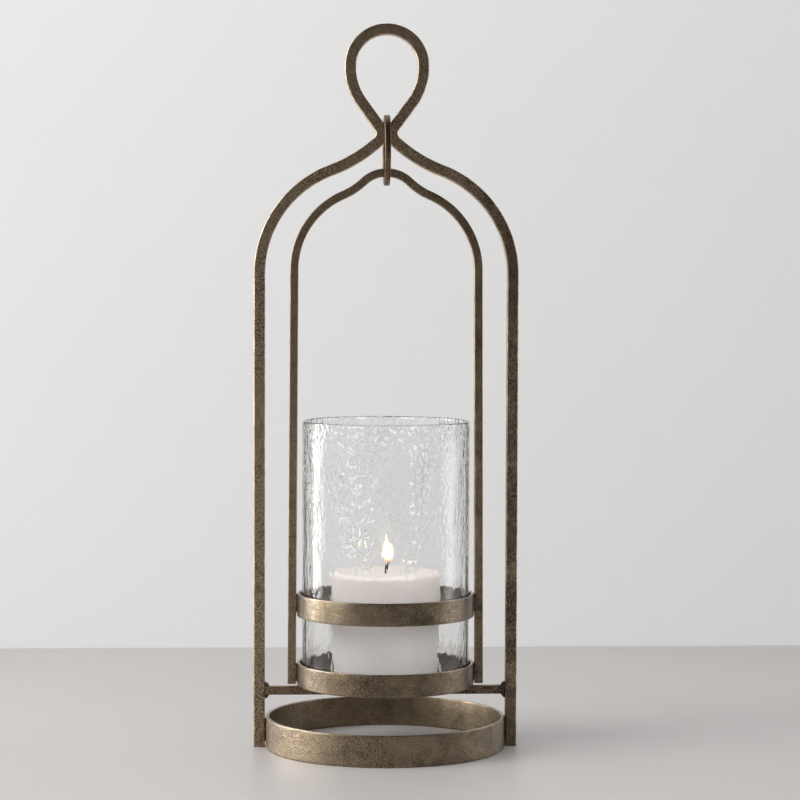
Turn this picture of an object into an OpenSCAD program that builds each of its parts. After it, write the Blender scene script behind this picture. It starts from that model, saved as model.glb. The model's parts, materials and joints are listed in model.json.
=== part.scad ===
// Hanging pillar candle holder. A bar is bent into an arched frame with a teardrop carrying
// loop on top. A ring hangs in the frame's neck and carries a hanger of thinner bar, whose
// cup and hoop hold an open glass sleeve with a pillar candle inside.
// X runs from post to post, Y to the back, and Z up. The origin lies on the surface that the
// holder stands on, midway between the posts. Sizes are in millimetres.

/* [Outer frame] */
// Overall height, from the surface to the top of the loop
frame_h = 508; // [495:1:540]
// Distance between the centre lines of the two posts
post_pitch = 177.8; // [175:0.1:186]
// Side of the frame's square bar
frame_bar = 8; // [7.6:0.1:8.4]
// Bend radius at the top of the loop, on the centre line
loop_r = 25.6; // [24:0.1:28]
// Bend radius of the loop's flanks
flank_r = 41; // [38:0.5:46]
// Lean of the loop's flanks from the vertical, in degrees
flank_lean = 36; // [33:0.5:38]
// Bend radius where the two sides of the bar meet
neck_r = 8; // [7:0.5:9]
// Slope of the bar as it leaves the neck, in degrees
neck_slope = 40; // [38:0.5:42]
// Bend radius of the sweep between neck and shoulder
sweep_r = 102; // [80:1:106]
// Slope of the bar where the shoulder starts, in degrees
shoulder_slope = 21; // [20:0.5:23]
// Bend radius of the shoulders
shoulder_r = 77.5; // [74:0.1:79]

/* [Base] */
// Height of the base ring
base_ring_h = 22; // [18:0.5:26]
// Thickness of the base ring's strip
base_ring_wall = 2.5; // [1.5:0.1:3.5]
// Side of the cross bar
cross_bar = 6; // [5:0.1:7]

/* [Hanging ring] */
// Inside diameter of the ring
ring_id = 38.6; // [37:0.1:40]
// Width of the ring, from the inside to the outside
ring_w = 5.4; // [4.5:0.1:6.5]
// Thickness of the ring
ring_t = 4.2; // [3.6:0.1:4.6]

/* [Hanger] */
// Side of the hanger's square bar
hanger_bar = 6; // [5.5:0.1:6.4]
// Bend radius of the hump that sits in the ring
hump_r = 23.3; // [21:0.1:26]
// Slope at the foot of the hump, in degrees
hump_slope = 42; // [39:0.5:44]
// Bend radius of the hollow beside the hump
hollow_r = 48.5; // [42:0.5:54]
// Slope where the hanger's shoulder starts, in degrees
arch_slope = 24; // [22:0.5:26]
// Outward lean of the legs, in degrees
leg_lean = 0.3; // [0.1:0.05:0.5]

/* [Cup and hoop] */
// Outside diameter of the cup and of the upper hoop
band_od = 125; // [124:0.5:126]
// Height of the strip that both are rolled from
band_h = 16; // [13:0.5:18]
// Thickness of that strip
band_wall = 2.2; // [1.5:0.1:2.4]
// Height of the upper hoop's lower edge above the cup's
band_rise = 49; // [40:0.5:60]
// Free height between the cup and the cross bar
cup_gap = 1; // [0.9:0.1:2]

/* [Glass and candle] */
// Outside diameter of the glass sleeve
glass_od = 118; // [112:0.5:118.5]
// Height of the glass sleeve
glass_h = 183; // [160:1:190]
// Wall of the glass sleeve
glass_wall = 2.4; // [1.8:0.1:3.2]
// Diameter of the candle
candle_d = 76.2; // [60:0.1:90]
// Height of the candle
candle_h = 77; // [60:1:100]

/* [Hidden] */
$fn = 128;

bronze = "#75603f";
brass = "#9a8358";
weld_metal = "#4a3c2a";
bend_gap = 1;          // straight length of bar between one bend and the next
seam = 0.002;          // a bent bar's lengths stop this short of its bends
mark = 0.2;            // length of the bending tool's mark, which bridges each seam
mark_scale = 1.003;    // how much larger the bar's section is at a mark
edge_break = 0.1;      // share of a bar's side that each broken edge takes
strip_break = 0.4;     // broken edges of the rolled strips
seat_play = 0.25;      // clearance where the ring hangs, and where the hanger sits in it
twist_play = 0.3;      // extra height that lets the hanger turn in the ring
rest_play = 0.1;       // clearance under what stands loose in the cup

// Outer frame
neck_bite = 0.25;      // how far each side is pressed past the middle at the neck
post_x = post_pitch / 2;
post_face_x = post_x - frame_bar / 2;
neck_x = frame_bar / 2 - neck_bite;
neck_heading = 90 - neck_slope;
shoulder_heading = 90 - shoulder_slope;
flank_l = (loop_r - neck_x - arc_x(flank_r, 0, flank_lean) - arc_x(neck_r, 0, flank_lean))
          / sin(flank_lean);
sweep_l = (post_x - neck_x - arc_x(neck_r, 0, neck_heading)
           - arc_x(sweep_r, neck_heading, shoulder_heading)
           - bend_gap * sin(shoulder_heading)
           - arc_x(shoulder_r, 0, shoulder_heading)) / sin(neck_heading);
loop_z = frame_h - frame_bar / 2 - loop_r;
neck_z = loop_z - bend_gap - arc_z(flank_r + neck_r, 0, flank_lean)
         - flank_l * cos(flank_lean);
post_l = neck_z - arc_z(neck_r, 0, neck_heading) - sweep_l * cos(neck_heading)
         - arc_z(sweep_r, neck_heading, shoulder_heading)
         - bend_gap * cos(shoulder_heading) - arc_z(shoulder_r, 0, shoulder_heading);
frame_run = [
    [post_l, shoulder_r, shoulder_heading],
    [bend_gap, sweep_r, neck_heading - shoulder_heading],
    [sweep_l, neck_r, -neck_heading - flank_lean],
    [flank_l, flank_r, flank_lean],
    [bend_gap, loop_r, 180],
    [bend_gap, flank_r, flank_lean],
    [flank_l, neck_r, -neck_heading - flank_lean],
    [sweep_l, sweep_r, neck_heading - shoulder_heading],
    [bend_gap, shoulder_r, shoulder_heading],
    [post_l, 0, 0],
];

// Hanging ring: it rests on the two sides of the V above the neck
ring_ri = ring_id / 2;
neck_back_r = neck_r + frame_bar / 2;
seat_z = neck_z + sqrt(pow(neck_back_r, 2) - pow(neck_back_r - neck_bite - ring_t / 2, 2));
ring_z = seat_z + seat_play - sqrt(pow(ring_ri, 2) - pow(frame_bar * (0.5 - edge_break), 2));

// Hanger
hump_z = ring_z - ring_ri + seat_play + twist_play + hanger_bar / 2 + 0.25;
cross_bar_z = 36.8;
cup_z = cross_bar_z + cross_bar + cup_gap;
band_z = cup_z + band_rise;
foot_z = cup_z + 0.8;
leg_gap = 0.3;         // between the upper hoop and the legs
hump_l = 2;            // straight between the hump and the hollow
leg_x = band_od / 2 + leg_gap + hanger_bar / 2;
hump_heading = 90 - hump_slope;
arch_heading = 90 - arch_slope;
arch_side = arc_x(hump_r, hump_heading, 90) + hump_l * sin(hump_heading)
            + arc_x(hollow_r, hump_heading, arch_heading) + bend_gap * sin(arch_heading);
arch_drop = arc_z(hump_r, hump_heading, 90) + hump_l * cos(hump_heading)
            + arc_z(hollow_r, hump_heading, arch_heading) + bend_gap * cos(arch_heading);
// The shoulder's radius makes the legs reach leg_x at the upper hoop
arch_r = (leg_x - arch_side - (hump_z - arch_drop - band_z - band_h / 2) * tan(leg_lean))
         / (cos(leg_lean) - cos(arch_heading)
            - (sin(arch_heading) - sin(leg_lean)) * tan(leg_lean));
leg_l = (hump_z - arch_drop - arc_z(arch_r, leg_lean, arch_heading) - foot_z) / cos(leg_lean);
foot_x = arch_side + arc_x(arch_r, leg_lean, arch_heading) + leg_l * sin(leg_lean);
hanger_run = [
    [leg_l, arch_r, arch_heading - leg_lean],
    [bend_gap, hollow_r, hump_heading - arch_heading],
    [hump_l, hump_r, 2 * hump_slope],
    [hump_l, hollow_r, hump_heading - arch_heading],
    [bend_gap, arch_r, arch_heading - leg_lean],
    [leg_l, 0, 0],
];

// Base ring, cup, glass and candle
base_ring_od = 2 * post_face_x - 0.8;
floor_t = 1.5;
floor_z = cup_z + 2;
stand_z = floor_z + floor_t + rest_play;
wick_r = 0.9;
wick_up = 6.5;         // upright stretch of the wick above the wax
wick_tip = 4;          // bent over end of the wick
wick_lean = 38;
pool_depth = 1.6;      // hollow that the flame has melted in the candle's top

// Sideways and upward reach of a bend between two headings, measured from the vertical
function arc_x(r, a, b) = r * abs(cos(a) - cos(b));
function arc_z(r, a, b) = r * abs(sin(a) - sin(b));

// Square bar with broken edges
module bar_section(side) {
    h = side / 2;
    b = h - side * edge_break;
    polygon([[b, h], [h, b], [h, -b], [b, -h], [-b, -h], [-h, -b], [-h, b], [-b, h]]);
}

// A bar bent in the XZ plane. It starts upwards, and each step is a straight length, then a
// bend's radius and its angle, positive towards +X. The section is the module's child.
module bent(run, step = 0) {
    if (step < len(run)) {
        length = run[step][0];
        radius = run[step][1];
        angle = run[step][2];
        side = sign(angle);
        low = step == 0 ? 0 : seam;
        high = step == len(run) - 1 ? length : length - seam;
        translate([0, 0, low])
            linear_extrude(high - low) children();
        if (step > 0)
            linear_extrude(mark, center = true) scale(mark_scale) children();
        if (radius > 0)
            translate([0, 0, length]) {
                linear_extrude(mark, center = true) scale(mark_scale) children();
                rotate([0, 0, 90 - 90 * side])
                    translate([radius, 0, 0])
                        rotate([90, 0, 180])
                            rotate_extrude(angle = abs(angle))
                                translate([radius, 0]) children();
                translate([side * radius * (1 - cos(angle)), 0, side * radius * sin(angle)])
                    rotate([0, angle, 0])
                        bent(run, step + 1) children();
            }
    }
}

// Rolled strip of flat bar, standing on edge
module hoop(od, height, wall) {
    r = od / 2;
    b = strip_break;
    rotate_extrude()
        polygon([
            [r - wall, b], [r - wall + b, 0], [r - b, 0], [r, b],
            [r, height - b], [r - b, height], [r - wall + b, height], [r - wall, height - b],
        ]);
}

// Upright weld bead with pointed ends, centred on its middle
module bead(r, length) {
    cylinder(h = length - 2 * r, r = r, center = true);
    for (end = [-1, 1])
        translate([0, 0, end * (length / 2 - r)])
            rotate([90 - 90 * end, 0, 0])
                cylinder(h = r, r1 = r, r2 = r / 3);
}

// Hollow corner weld between an upright face at x = 0 and a level one at z = 0
module corner_weld(size, depth) {
    rotate([90, 0, 0])
        translate([0, 0, -depth / 2])
            linear_extrude(depth)
                difference() {
                    square(size);
                    translate([size, size]) circle(r = size * 0.98);
                }
}

module outer_frame() {
    color(bronze)
        translate([-post_x, 0, 0])
            bent(frame_run) bar_section(frame_bar);
}

// Fills the two V shaped grooves where the sides of the bar meet
module neck_weld() {
    depth = frame_bar - 2;
    half_w = 2.4;
    reach = [-5.6, 5.4];
    color(weld_metal)
        difference() {
            translate([-half_w, -depth / 2, neck_z + reach[0]])
                cube([2 * half_w, depth, reach[1] - reach[0]]);
            outer_frame();
        }
}

module base_ring() {
    color(brass) hoop(base_ring_od, base_ring_h, base_ring_wall);
}

// Two beads at the back, where the ring passes the posts
module base_ring_welds() {
    color(weld_metal)
        difference() {
            for (side = [-1, 1])
                translate([side * (post_face_x + 0.4), frame_bar / 2 + 0.8, base_ring_h / 2])
                    bead(1.9, base_ring_h - 5);
            cylinder(h = base_ring_h + 1, r = base_ring_od / 2);
            outer_frame();
        }
}

module cross_bar() {
    color(bronze)
        translate([-post_face_x, 0, cross_bar_z + cross_bar / 2])
            rotate([0, 90, 0])
                linear_extrude(2 * post_face_x) bar_section(cross_bar);
}

module cross_bar_welds() {
    depth = cross_bar - 1.2;
    color(weld_metal)
        for (side = [0, 1])
            mirror([side, 0, 0])
                translate([-post_face_x, 0, cross_bar_z]) {
                    translate([0, 0, cross_bar]) corner_weld(4.2, depth);
                    mirror([0, 0, 1]) corner_weld(3.4, depth);
                }
}

module hanging_ring() {
    b = strip_break;
    ro = ring_ri + ring_w;
    h = ring_t / 2;
    color(bronze)
        translate([0, 0, ring_z])
            rotate([0, 90, 0])
                rotate_extrude()
                    polygon([
                        [ring_ri, b - h], [ring_ri + b, -h], [ro - b, -h], [ro, b - h],
                        [ro, h - b], [ro - b, h], [ring_ri + b, h], [ring_ri, h - b],
                    ]);
}

module hanger_frame() {
    color(bronze)
        translate([-foot_x, 0, foot_z])
            rotate([0, leg_lean, 0])
                bent(hanger_run) bar_section(hanger_bar);
}

// Beads down the front and back corners between a strip and the hanger's legs
module band_welds(z, length) {
    color(weld_metal)
        difference() {
            for (side = [-1, 1], face = [-1, 1])
                translate([side * (leg_x - hanger_bar / 2), face * (hanger_bar / 2 + 0.5), z])
                    bead(1.5, length);
            translate([0, 0, z - band_h]) cylinder(h = 2 * band_h, r = band_od / 2);
            hanger_frame();
        }
}

module upper_band() {
    color(brass) translate([0, 0, band_z]) hoop(band_od, band_h, band_wall);
}

module upper_band_welds() {
    band_welds(band_z + band_h * 0.55, band_h - 4);
}

module cup_band() {
    color(brass) translate([0, 0, cup_z]) hoop(band_od, band_h, band_wall);
}

module cup_band_welds() {
    band_welds(cup_z + band_h * 0.55, band_h - 4);
}

// Sheet disc on which the glass and the candle stand
module cup_floor() {
    color(brass)
        translate([0, 0, floor_z])
            cylinder(h = floor_t, r = band_od / 2 - band_wall - 0.05);
}

// Tacks under the floor, against the inside of the cup
module cup_floor_welds() {
    tacks = 6;
    tack_h = 1.2;
    wall_r = band_od / 2 - band_wall;
    color(weld_metal)
        intersection() {
            for (i = [0 : tacks - 1])
                rotate([0, 0, (i + 0.5) * 360 / tacks])
                    translate([wall_r, 0, floor_z - tack_h])
                        cylinder(h = tack_h, r1 = 1.2, r2 = 2.4);
            translate([0, 0, floor_z - 2 * tack_h]) cylinder(h = 3 * tack_h, r = wall_r);
        }
}

// Open at both ends, with fire polished rims
module glass_sleeve() {
    r = glass_od / 2;
    half = glass_wall / 2;
    color("lightcyan", 0.35)
        translate([0, 0, stand_z])
            rotate_extrude() {
                translate([r - glass_wall, half]) square([glass_wall, glass_h - 2 * half]);
                for (z = [half, glass_h - half])
                    translate([r - half, z]) circle(r = half, $fn = 32);
            }
}

// Cylinder of wax with a rounded rim, a shallow melted pool and a hole for the wick
module candle_wax() {
    r = candle_d / 2;
    rim = 3;
    pool_r = r - 4.5;
    bowl_r = (pow(pool_r, 2) + pow(pool_depth, 2)) / (2 * pool_depth);
    color("#efe7dc")
        translate([0, 0, stand_z])
            difference() {
                rotate_extrude() {
                    square([r, candle_h - rim]);
                    square([r - rim, candle_h]);
                    translate([r - rim, candle_h - rim]) circle(r = rim, $fn = 48);
                }
                translate([0, 0, candle_h + bowl_r - pool_depth]) sphere(r = bowl_r);
                translate([0, 0, -1]) cylinder(h = candle_h + 2, r = wick_r + 0.05);
            }
}

// Braided wick, right through the wax, with its end bent over
module candle_wick() {
    bend_z = candle_h - pool_depth + wick_up;
    color("#2c2420")
        translate([0, 0, stand_z]) {
            translate([0, 0, 1]) cylinder(h = bend_z - 1, r = wick_r);
            translate([0, 0, bend_z]) {
                sphere(r = wick_r * 1.06, $fn = 48);
                rotate([0, wick_lean, 0]) cylinder(h = wick_tip, r = wick_r * 0.9);
            }
        }
}

outer_frame();
neck_weld();
base_ring();
base_ring_welds();
cross_bar();
cross_bar_welds();
hanging_ring();
hanger_frame();
upper_band();
upper_band_welds();
cup_band();
cup_band_welds();
cup_floor();
cup_floor_welds();
glass_sleeve();
candle_wax();
candle_wick();
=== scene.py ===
"""Pillar candle holder: finely made pieces and finishes around the fixed CAD frame.

Lengths in the shape functions are in millimetres in the CAD's own axes, and become metres when a
mesh is made.
"""
import json
import math

import bpy
import numpy as np
from mathutils import Matrix, Vector

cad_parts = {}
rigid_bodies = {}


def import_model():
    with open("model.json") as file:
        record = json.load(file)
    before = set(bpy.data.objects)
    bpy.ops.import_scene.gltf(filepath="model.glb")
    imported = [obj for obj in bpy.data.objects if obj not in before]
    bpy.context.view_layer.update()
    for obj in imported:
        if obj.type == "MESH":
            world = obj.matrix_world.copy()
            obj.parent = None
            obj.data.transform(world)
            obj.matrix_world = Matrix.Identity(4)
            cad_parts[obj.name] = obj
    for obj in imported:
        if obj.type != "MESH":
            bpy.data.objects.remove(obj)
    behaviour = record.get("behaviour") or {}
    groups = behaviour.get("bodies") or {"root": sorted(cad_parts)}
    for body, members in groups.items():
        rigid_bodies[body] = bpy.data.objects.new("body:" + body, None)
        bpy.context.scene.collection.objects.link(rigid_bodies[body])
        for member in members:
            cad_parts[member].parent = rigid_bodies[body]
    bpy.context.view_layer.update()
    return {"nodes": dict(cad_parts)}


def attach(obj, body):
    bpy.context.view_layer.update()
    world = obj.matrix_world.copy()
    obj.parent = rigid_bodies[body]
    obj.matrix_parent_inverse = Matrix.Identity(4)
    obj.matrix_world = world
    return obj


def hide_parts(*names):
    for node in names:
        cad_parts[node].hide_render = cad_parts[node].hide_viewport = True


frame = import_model()

# ---------------------------------------------------------------------------------------------
# Sizes, in millimetres
# ---------------------------------------------------------------------------------------------
MM = 1000  # in a metre
POST_X = 88.9
FRAME_BAR = 8.0
HANGER_BAR = 6.0
CROSS_BAR = 6.0
BAR_CORNER = 0.9
THIN_CORNER = 0.75
BAR_STEP = 1.25
LEG_X = 66.0943
LEG_FOOT_Z = 44.6
NECK_Z = 431.405
NECK_BEAD_Y = 1.2
CROSS_Z = 39.8
CROSS_INSET = 3.9
CROSS_BEAD_X = 84.0
CROSS_BEAD_HALF = 2.6
LINK_Z = 419.755
LINK_HOLE_R = 19.3
LINK_WIDTH = 5.4
LINK_DEPTH = 4.2
CUP_Z = 43.8
BAND_Z = 92.8
BAND_H = 16.0
BAND_R = 62.5
BAND_STRIP = 2.2
BAND_BEAD_X = 62.9
BAND_BEAD_Y = 3.5
BASE_R = 84.5
BASE_H = 22.0
BASE_STRIP = 2.5
BASE_BEAD_X = 85.2
BASE_BEAD_Y = 4.6
PLATE_LOW_Z = 45.8
PLATE_TOP_Z = 47.3
PLATE_R = 60.25
PLATE_RIM = 0.6
STAND_Z = 47.4
GLASS_R = 59.0
GLASS_H = 183.0
GLASS_WALL = 2.4
GLASS_RIM = 1.2
CALM_ANGLE = -2.4
CALM_Z = 92
CANDLE_R = 38.1
CANDLE_H = 77.0
CANDLE_EDGE = 3
POOL_R = 34.9
POOL_DEPTH = 1.6
WICK_FOOT = 60
WICK_BEND_Z = 124.6
WICK_R = 0.92
WICK_STEP = 0.25
WICK_PLAIT = 2.2
FLAME_Z = 129.6
FLAME_H = 20.5
FLAME_R = 4.1
WALL_Y = 0.48
STAGE_REACH = 3


# ---------------------------------------------------------------------------------------------
# Shape functions
# ---------------------------------------------------------------------------------------------
def swell(points, wavelength, seed):
    """Gentle unevenness from -1 to 1: the mean of 14 sine waves that run in random directions,
    each about one wavelength long."""
    rng = np.random.default_rng(seed)
    waves = rng.normal(size=(14, 3)) * (2 * math.pi / wavelength) * 0.7
    phases = rng.uniform(0, 2 * math.pi, 14)
    total = np.sin(np.asarray(points) @ waves.T + phases).sum(-1)
    return np.clip(total / math.sqrt(14) / 1.6, -1, 1)


def bent_line(start, heading, steps, spacing):
    """Centre line of a bar bent in the XZ plane: straights and circular arcs laid end to end.
    Each step is a straight length, then a bend's radius and its angle in degrees. The heading is
    the direction's angle from straight up, positive towards +X. Returns points and headings."""
    at, turn = np.array(start, float), math.radians(heading)
    points, turns = [at[None]], [np.array([turn])]
    for length, radius, angle in steps:
        count = max(2, int(round(length / spacing)))
        along = np.linspace(0, length, count + 1)[1:, None]
        way = np.array([math.sin(turn), 0, math.cos(turn)])
        points.append(at + along * way)
        turns.append(np.full(count, turn))
        at = at + length * way
        if radius:
            sweep, side = math.radians(abs(angle)), math.copysign(1, angle)
            centre = at + side * radius * np.array([math.cos(turn), 0, -math.sin(turn)])
            count = max(6, int(round(radius * sweep / spacing)))
            t = turn + side * np.linspace(0, sweep, count + 1)[1:]
            points.append(centre - side * radius * np.stack([np.cos(t), 0 * t, -np.sin(t)], 1))
            turns.append(t)
            at, turn = points[-1][-1], t[-1]
    return np.concatenate(points), np.concatenate(turns)


def arched_line(start, heading, half):
    """Centre line and headings of a bar that is the same on both sides: one half bent from its
    foot at the left to the middle, and then the same half mirrored in the YZ plane."""
    line, turns = bent_line(start, heading, half, BAR_STEP)
    mirrored = line[::-1] * np.array([-1, 1, 1])
    line = np.concatenate([line, mirrored[1:]])
    turns = np.concatenate([turns, (math.pi - turns[::-1])[1:]])
    return line, turns


def soft_rectangle(width, depth, corner, across, down):
    """Outline of a rectangle with round corners, anticlockwise: four quarter circles joined by
    straight sides of the given numbers of steps. Also returns how close each point is to a corner,
    from 0 to 1."""
    quarter = np.linspace(0, math.pi / 2, 6)
    outline, near = [], []
    for i, steps in enumerate((across, down, across, down)):
        sx, sy = ((1, 1), (-1, 1), (-1, -1), (1, -1))[i]
        a = quarter + i * math.pi / 2
        cx, cy = sx * (width / 2 - corner), sy * (depth / 2 - corner)
        arc = np.stack([cx + corner * np.cos(a), cy + corner * np.sin(a)], 1)
        nx, ny = ((-1, 1), (-1, -1), (1, -1), (1, 1))[i]
        bx, by = nx * (width / 2 - corner), ny * (depth / 2 - corner)
        b = a[-1]
        far = np.array([bx + corner * math.cos(b), by + corner * math.sin(b)])
        t = np.linspace(0, 1, steps + 1)[1:-1, None]
        outline += [arc, arc[-1] + (far - arc[-1]) * t]
        near += [np.sin(2 * quarter), 0 * t[:, 0]]
    return np.concatenate(outline), np.concatenate(near)


def along_line(line, turns, outline, near, dent, seed):
    """A section carried along a line in the XZ plane: each point is the line's point plus the
    outline's x along the bend's normal and its y along Y. The surface is pressed in by up to dent,
    more in some places than in others, as on a forged bar."""
    normal = np.stack([np.cos(turns), 0 * turns, -np.sin(turns)], 1)
    rows = (line[:, None] + normal[:, None] * outline[None, :, :1]
            + np.array([0, 1.0, 0]) * outline[None, :, 1:])
    press = dent * (0.5 + 0.3 * swell(rows, 9, seed) + 0.2 * swell(rows, 31, seed + 1))
    inward = line[:, None] - rows
    rows = rows + inward / np.linalg.norm(inward, axis=2, keepdims=True) * press[..., None]
    return dict(rows=rows, near=np.broadcast_to(near, rows.shape[:2]), loop=False)


def around_axis(radius, outline, near, count, dent, seed, wobble=0.0):
    """A section carried round the Z axis: x of the outline is added to the radius, and y is the
    height. The radius wavers a little less than the stated one, as in a strip rolled by hand."""
    a = np.linspace(0, 2 * math.pi, count, endpoint=False)
    lean = -wobble * (0.5 + 0.3 * np.sin(2 * a + seed) + 0.2 * np.sin(5 * a + 2 * seed))
    r = radius + outline[None, :, 0] + lean[:, None]
    rows = np.stack([r * np.cos(a)[:, None], r * np.sin(a)[:, None],
                     np.broadcast_to(outline[None, :, 1], r.shape)], 2)
    middle = np.stack([(radius + outline[:, 0].mean()) * np.cos(a),
                       (radius + outline[:, 0].mean()) * np.sin(a),
                       np.full(count, outline[:, 1].mean())], 1)
    press = dent * (0.5 + 0.3 * swell(rows, 7, seed) + 0.2 * swell(rows, 23, seed + 1))
    inward = middle[:, None] - rows
    size = np.linalg.norm(inward, axis=2, keepdims=True)
    rows = rows + inward / np.maximum(size, 0.5) * press[..., None]
    return dict(rows=rows, near=np.broadcast_to(near, rows.shape[:2]), loop=True)


def lifted(skin, height):
    """The same skin, moved up by a height."""
    return dict(skin, rows=skin["rows"] + np.array([0, 0, height]))


def turned(profile, count):
    """A profile of radius and height turned round the Z axis. Its first and last points lie on
    the axis, and become poles."""
    a = np.linspace(0, 2 * math.pi, count, endpoint=False)
    inner = profile[1:-1]
    rows = np.stack([inner[:, None, 0] * np.cos(a), inner[:, None, 0] * np.sin(a),
                     np.broadcast_to(inner[:, None, 1], (len(inner), count))], 2)
    poles = np.array([[0, 0, profile[0, 1]], [0, 0, profile[-1, 1]]])
    return dict(rows=rows, near=np.zeros(rows.shape[:2]), loop=False, poles=poles)


def bead(start, end, out, radius, ripples, seed):
    """A weld bead from start to end: a tube whose radius swells and shrinks along its length in
    ripples, closes to a point at both ends, and is wider than it stands out."""
    start, end, out = np.array(start, float), np.array(end, float), np.array(out, float)
    way = end - start
    length = np.linalg.norm(way)
    way, out = way / length, out / np.linalg.norm(out)
    side = np.cross(way, out)
    t = np.linspace(0, 1, 8 * ripples + 9)[1:-1]
    a = np.linspace(0, 2 * math.pi, 20, endpoint=False)
    size = radius * np.minimum(1, np.sqrt(np.sin(math.pi * t) * 1.6))
    size = size * (1 + 0.13 * np.cos(2 * math.pi * ripples * t + seed) * np.sin(math.pi * t))
    middle = start + t[:, None] * way * length
    rows = (middle[:, None] + out * (0.8 * size[:, None] * np.cos(a))[..., None]
            + side * (1.15 * size[:, None] * np.sin(a))[..., None])
    lumps = 1 + 0.08 * swell(rows, radius * 2.4, seed)
    rows = middle[:, None] + (rows - middle[:, None]) * lumps[..., None]
    near = np.broadcast_to(0.25 + 0.5 * (np.cos(a) > 0.5), rows.shape[:2])
    return dict(rows=rows, near=near, loop=False, poles=np.array([start, end]))


def make_piece(name, parts, body, nodes, material):
    """One object from one or more skins. A skin is a grid of rows that closes round each row. Its
    ends join up if it loops, and otherwise each is closed by triangles to one point. Faces are
    turned to point outwards by the sign of the enclosed volume. UV is the distance in metres along
    the rows and round them. The attribute worked is 1 on rubbed corners and on crinkled glass."""
    points, faces, corners, worn, first = [], [], [], [], 0
    for part in parts:
        rows, loop = np.asarray(part["rows"], float), part["loop"]
        n, m = rows.shape[:2]
        index = first + np.arange(n * m).reshape(n, m)
        poles = part.get("poles")
        if poles is None and not loop:
            poles = np.stack([rows[0].mean(0), rows[-1].mean(0)])
        last = n if loop else n - 1
        i, j = np.meshgrid(np.arange(last), np.arange(m), indexing="ij")
        i2, j2 = (i + 1) % n, (j + 1) % m
        quads = np.stack([index[i, j], index[i2, j], index[i2, j2], index[i, j2]], -1)
        step = np.linalg.norm(np.diff(rows.mean(1), axis=0, append=rows[:1].mean(1)), axis=1)
        if loop:
            step = np.linalg.norm(np.roll(rows[:, 0], -1, 0) - rows[:, 0], axis=1)
        u = np.concatenate([[0], np.cumsum(step)]) / MM
        ring = rows[n // 2]
        v = np.concatenate([[0], np.cumsum(np.linalg.norm(np.roll(ring, -1, 0) - ring, axis=1))])
        v = v / MM
        uv = np.stack([np.stack([u[i], v[j]], -1), np.stack([u[i + 1], v[j]], -1),
                       np.stack([u[i + 1], v[j + 1]], -1), np.stack([u[i], v[j + 1]], -1)], 2)
        tri, tri_uv, total = np.zeros((0, 3), int), np.zeros((0, 3, 2)), n * m
        cloud = rows.reshape(-1, 3)
        edge = np.asarray(part["near"], float).reshape(-1)
        if not loop:
            k = np.arange(m)
            k2 = (k + 1) % m
            tri = np.concatenate([
                np.stack([np.full(m, first + total), index[0, k], index[0, k2]], 1),
                np.stack([np.full(m, first + total + 1), index[-1, k2], index[-1, k]], 1)])
            tri_uv = np.zeros((2 * m, 3, 2))
            tri_uv[:m, :, 0], tri_uv[m:, :, 0] = u[0], u[n - 1]
            tri_uv[:m, 1, 1], tri_uv[:m, 2, 1] = v[k], v[k + 1]
            tri_uv[m:, 1, 1], tri_uv[m:, 2, 1] = v[k + 1], v[k]
            cloud = np.concatenate([cloud, poles])
            edge = np.concatenate([edge, [edge[:m].mean(), edge[-m:].mean()]])
            total += 2
        quads, uv = quads.reshape(-1, 4), uv.reshape(-1, 4, 2)
        local = quads - first
        a, b, c, d = (cloud[local[:, q]] for q in range(4))
        volume = (np.einsum("ij,ij->i", a, np.cross(b, c)) + np.einsum(
            "ij,ij->i", a, np.cross(c, d))).sum()
        if len(tri):
            a, b, c = (cloud[tri[:, q] - first] for q in range(3))
            volume += np.einsum("ij,ij->i", a, np.cross(b, c)).sum()
        if volume < 0:
            quads, uv, tri, tri_uv = quads[:, ::-1], uv[:, ::-1], tri[:, ::-1], tri_uv[:, ::-1]
        points.append(cloud)
        worn.append(edge)
        faces += quads.tolist() + tri.tolist()
        corners += [uv.reshape(-1, 2), tri_uv.reshape(-1, 2)]
        first += total
    mesh = bpy.data.meshes.new(name)
    mesh.from_pydata(np.concatenate(points) / MM, [], faces)
    layer = mesh.uv_layers.new(name="UVMap")
    layer.data.foreach_set("uv", np.concatenate(corners).astype(np.float32).ravel())
    tone = mesh.attributes.new("worked", "FLOAT", "POINT")
    tone.data.foreach_set("value", np.concatenate(worn).astype(np.float32))
    mesh.shade_smooth()
    mesh.update()
    piece = bpy.data.objects.new(name, mesh)
    bpy.context.scene.collection.objects.link(piece)
    mesh.materials.append(material)
    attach(piece, body)
    if nodes:
        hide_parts(*nodes)
    return piece


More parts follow.
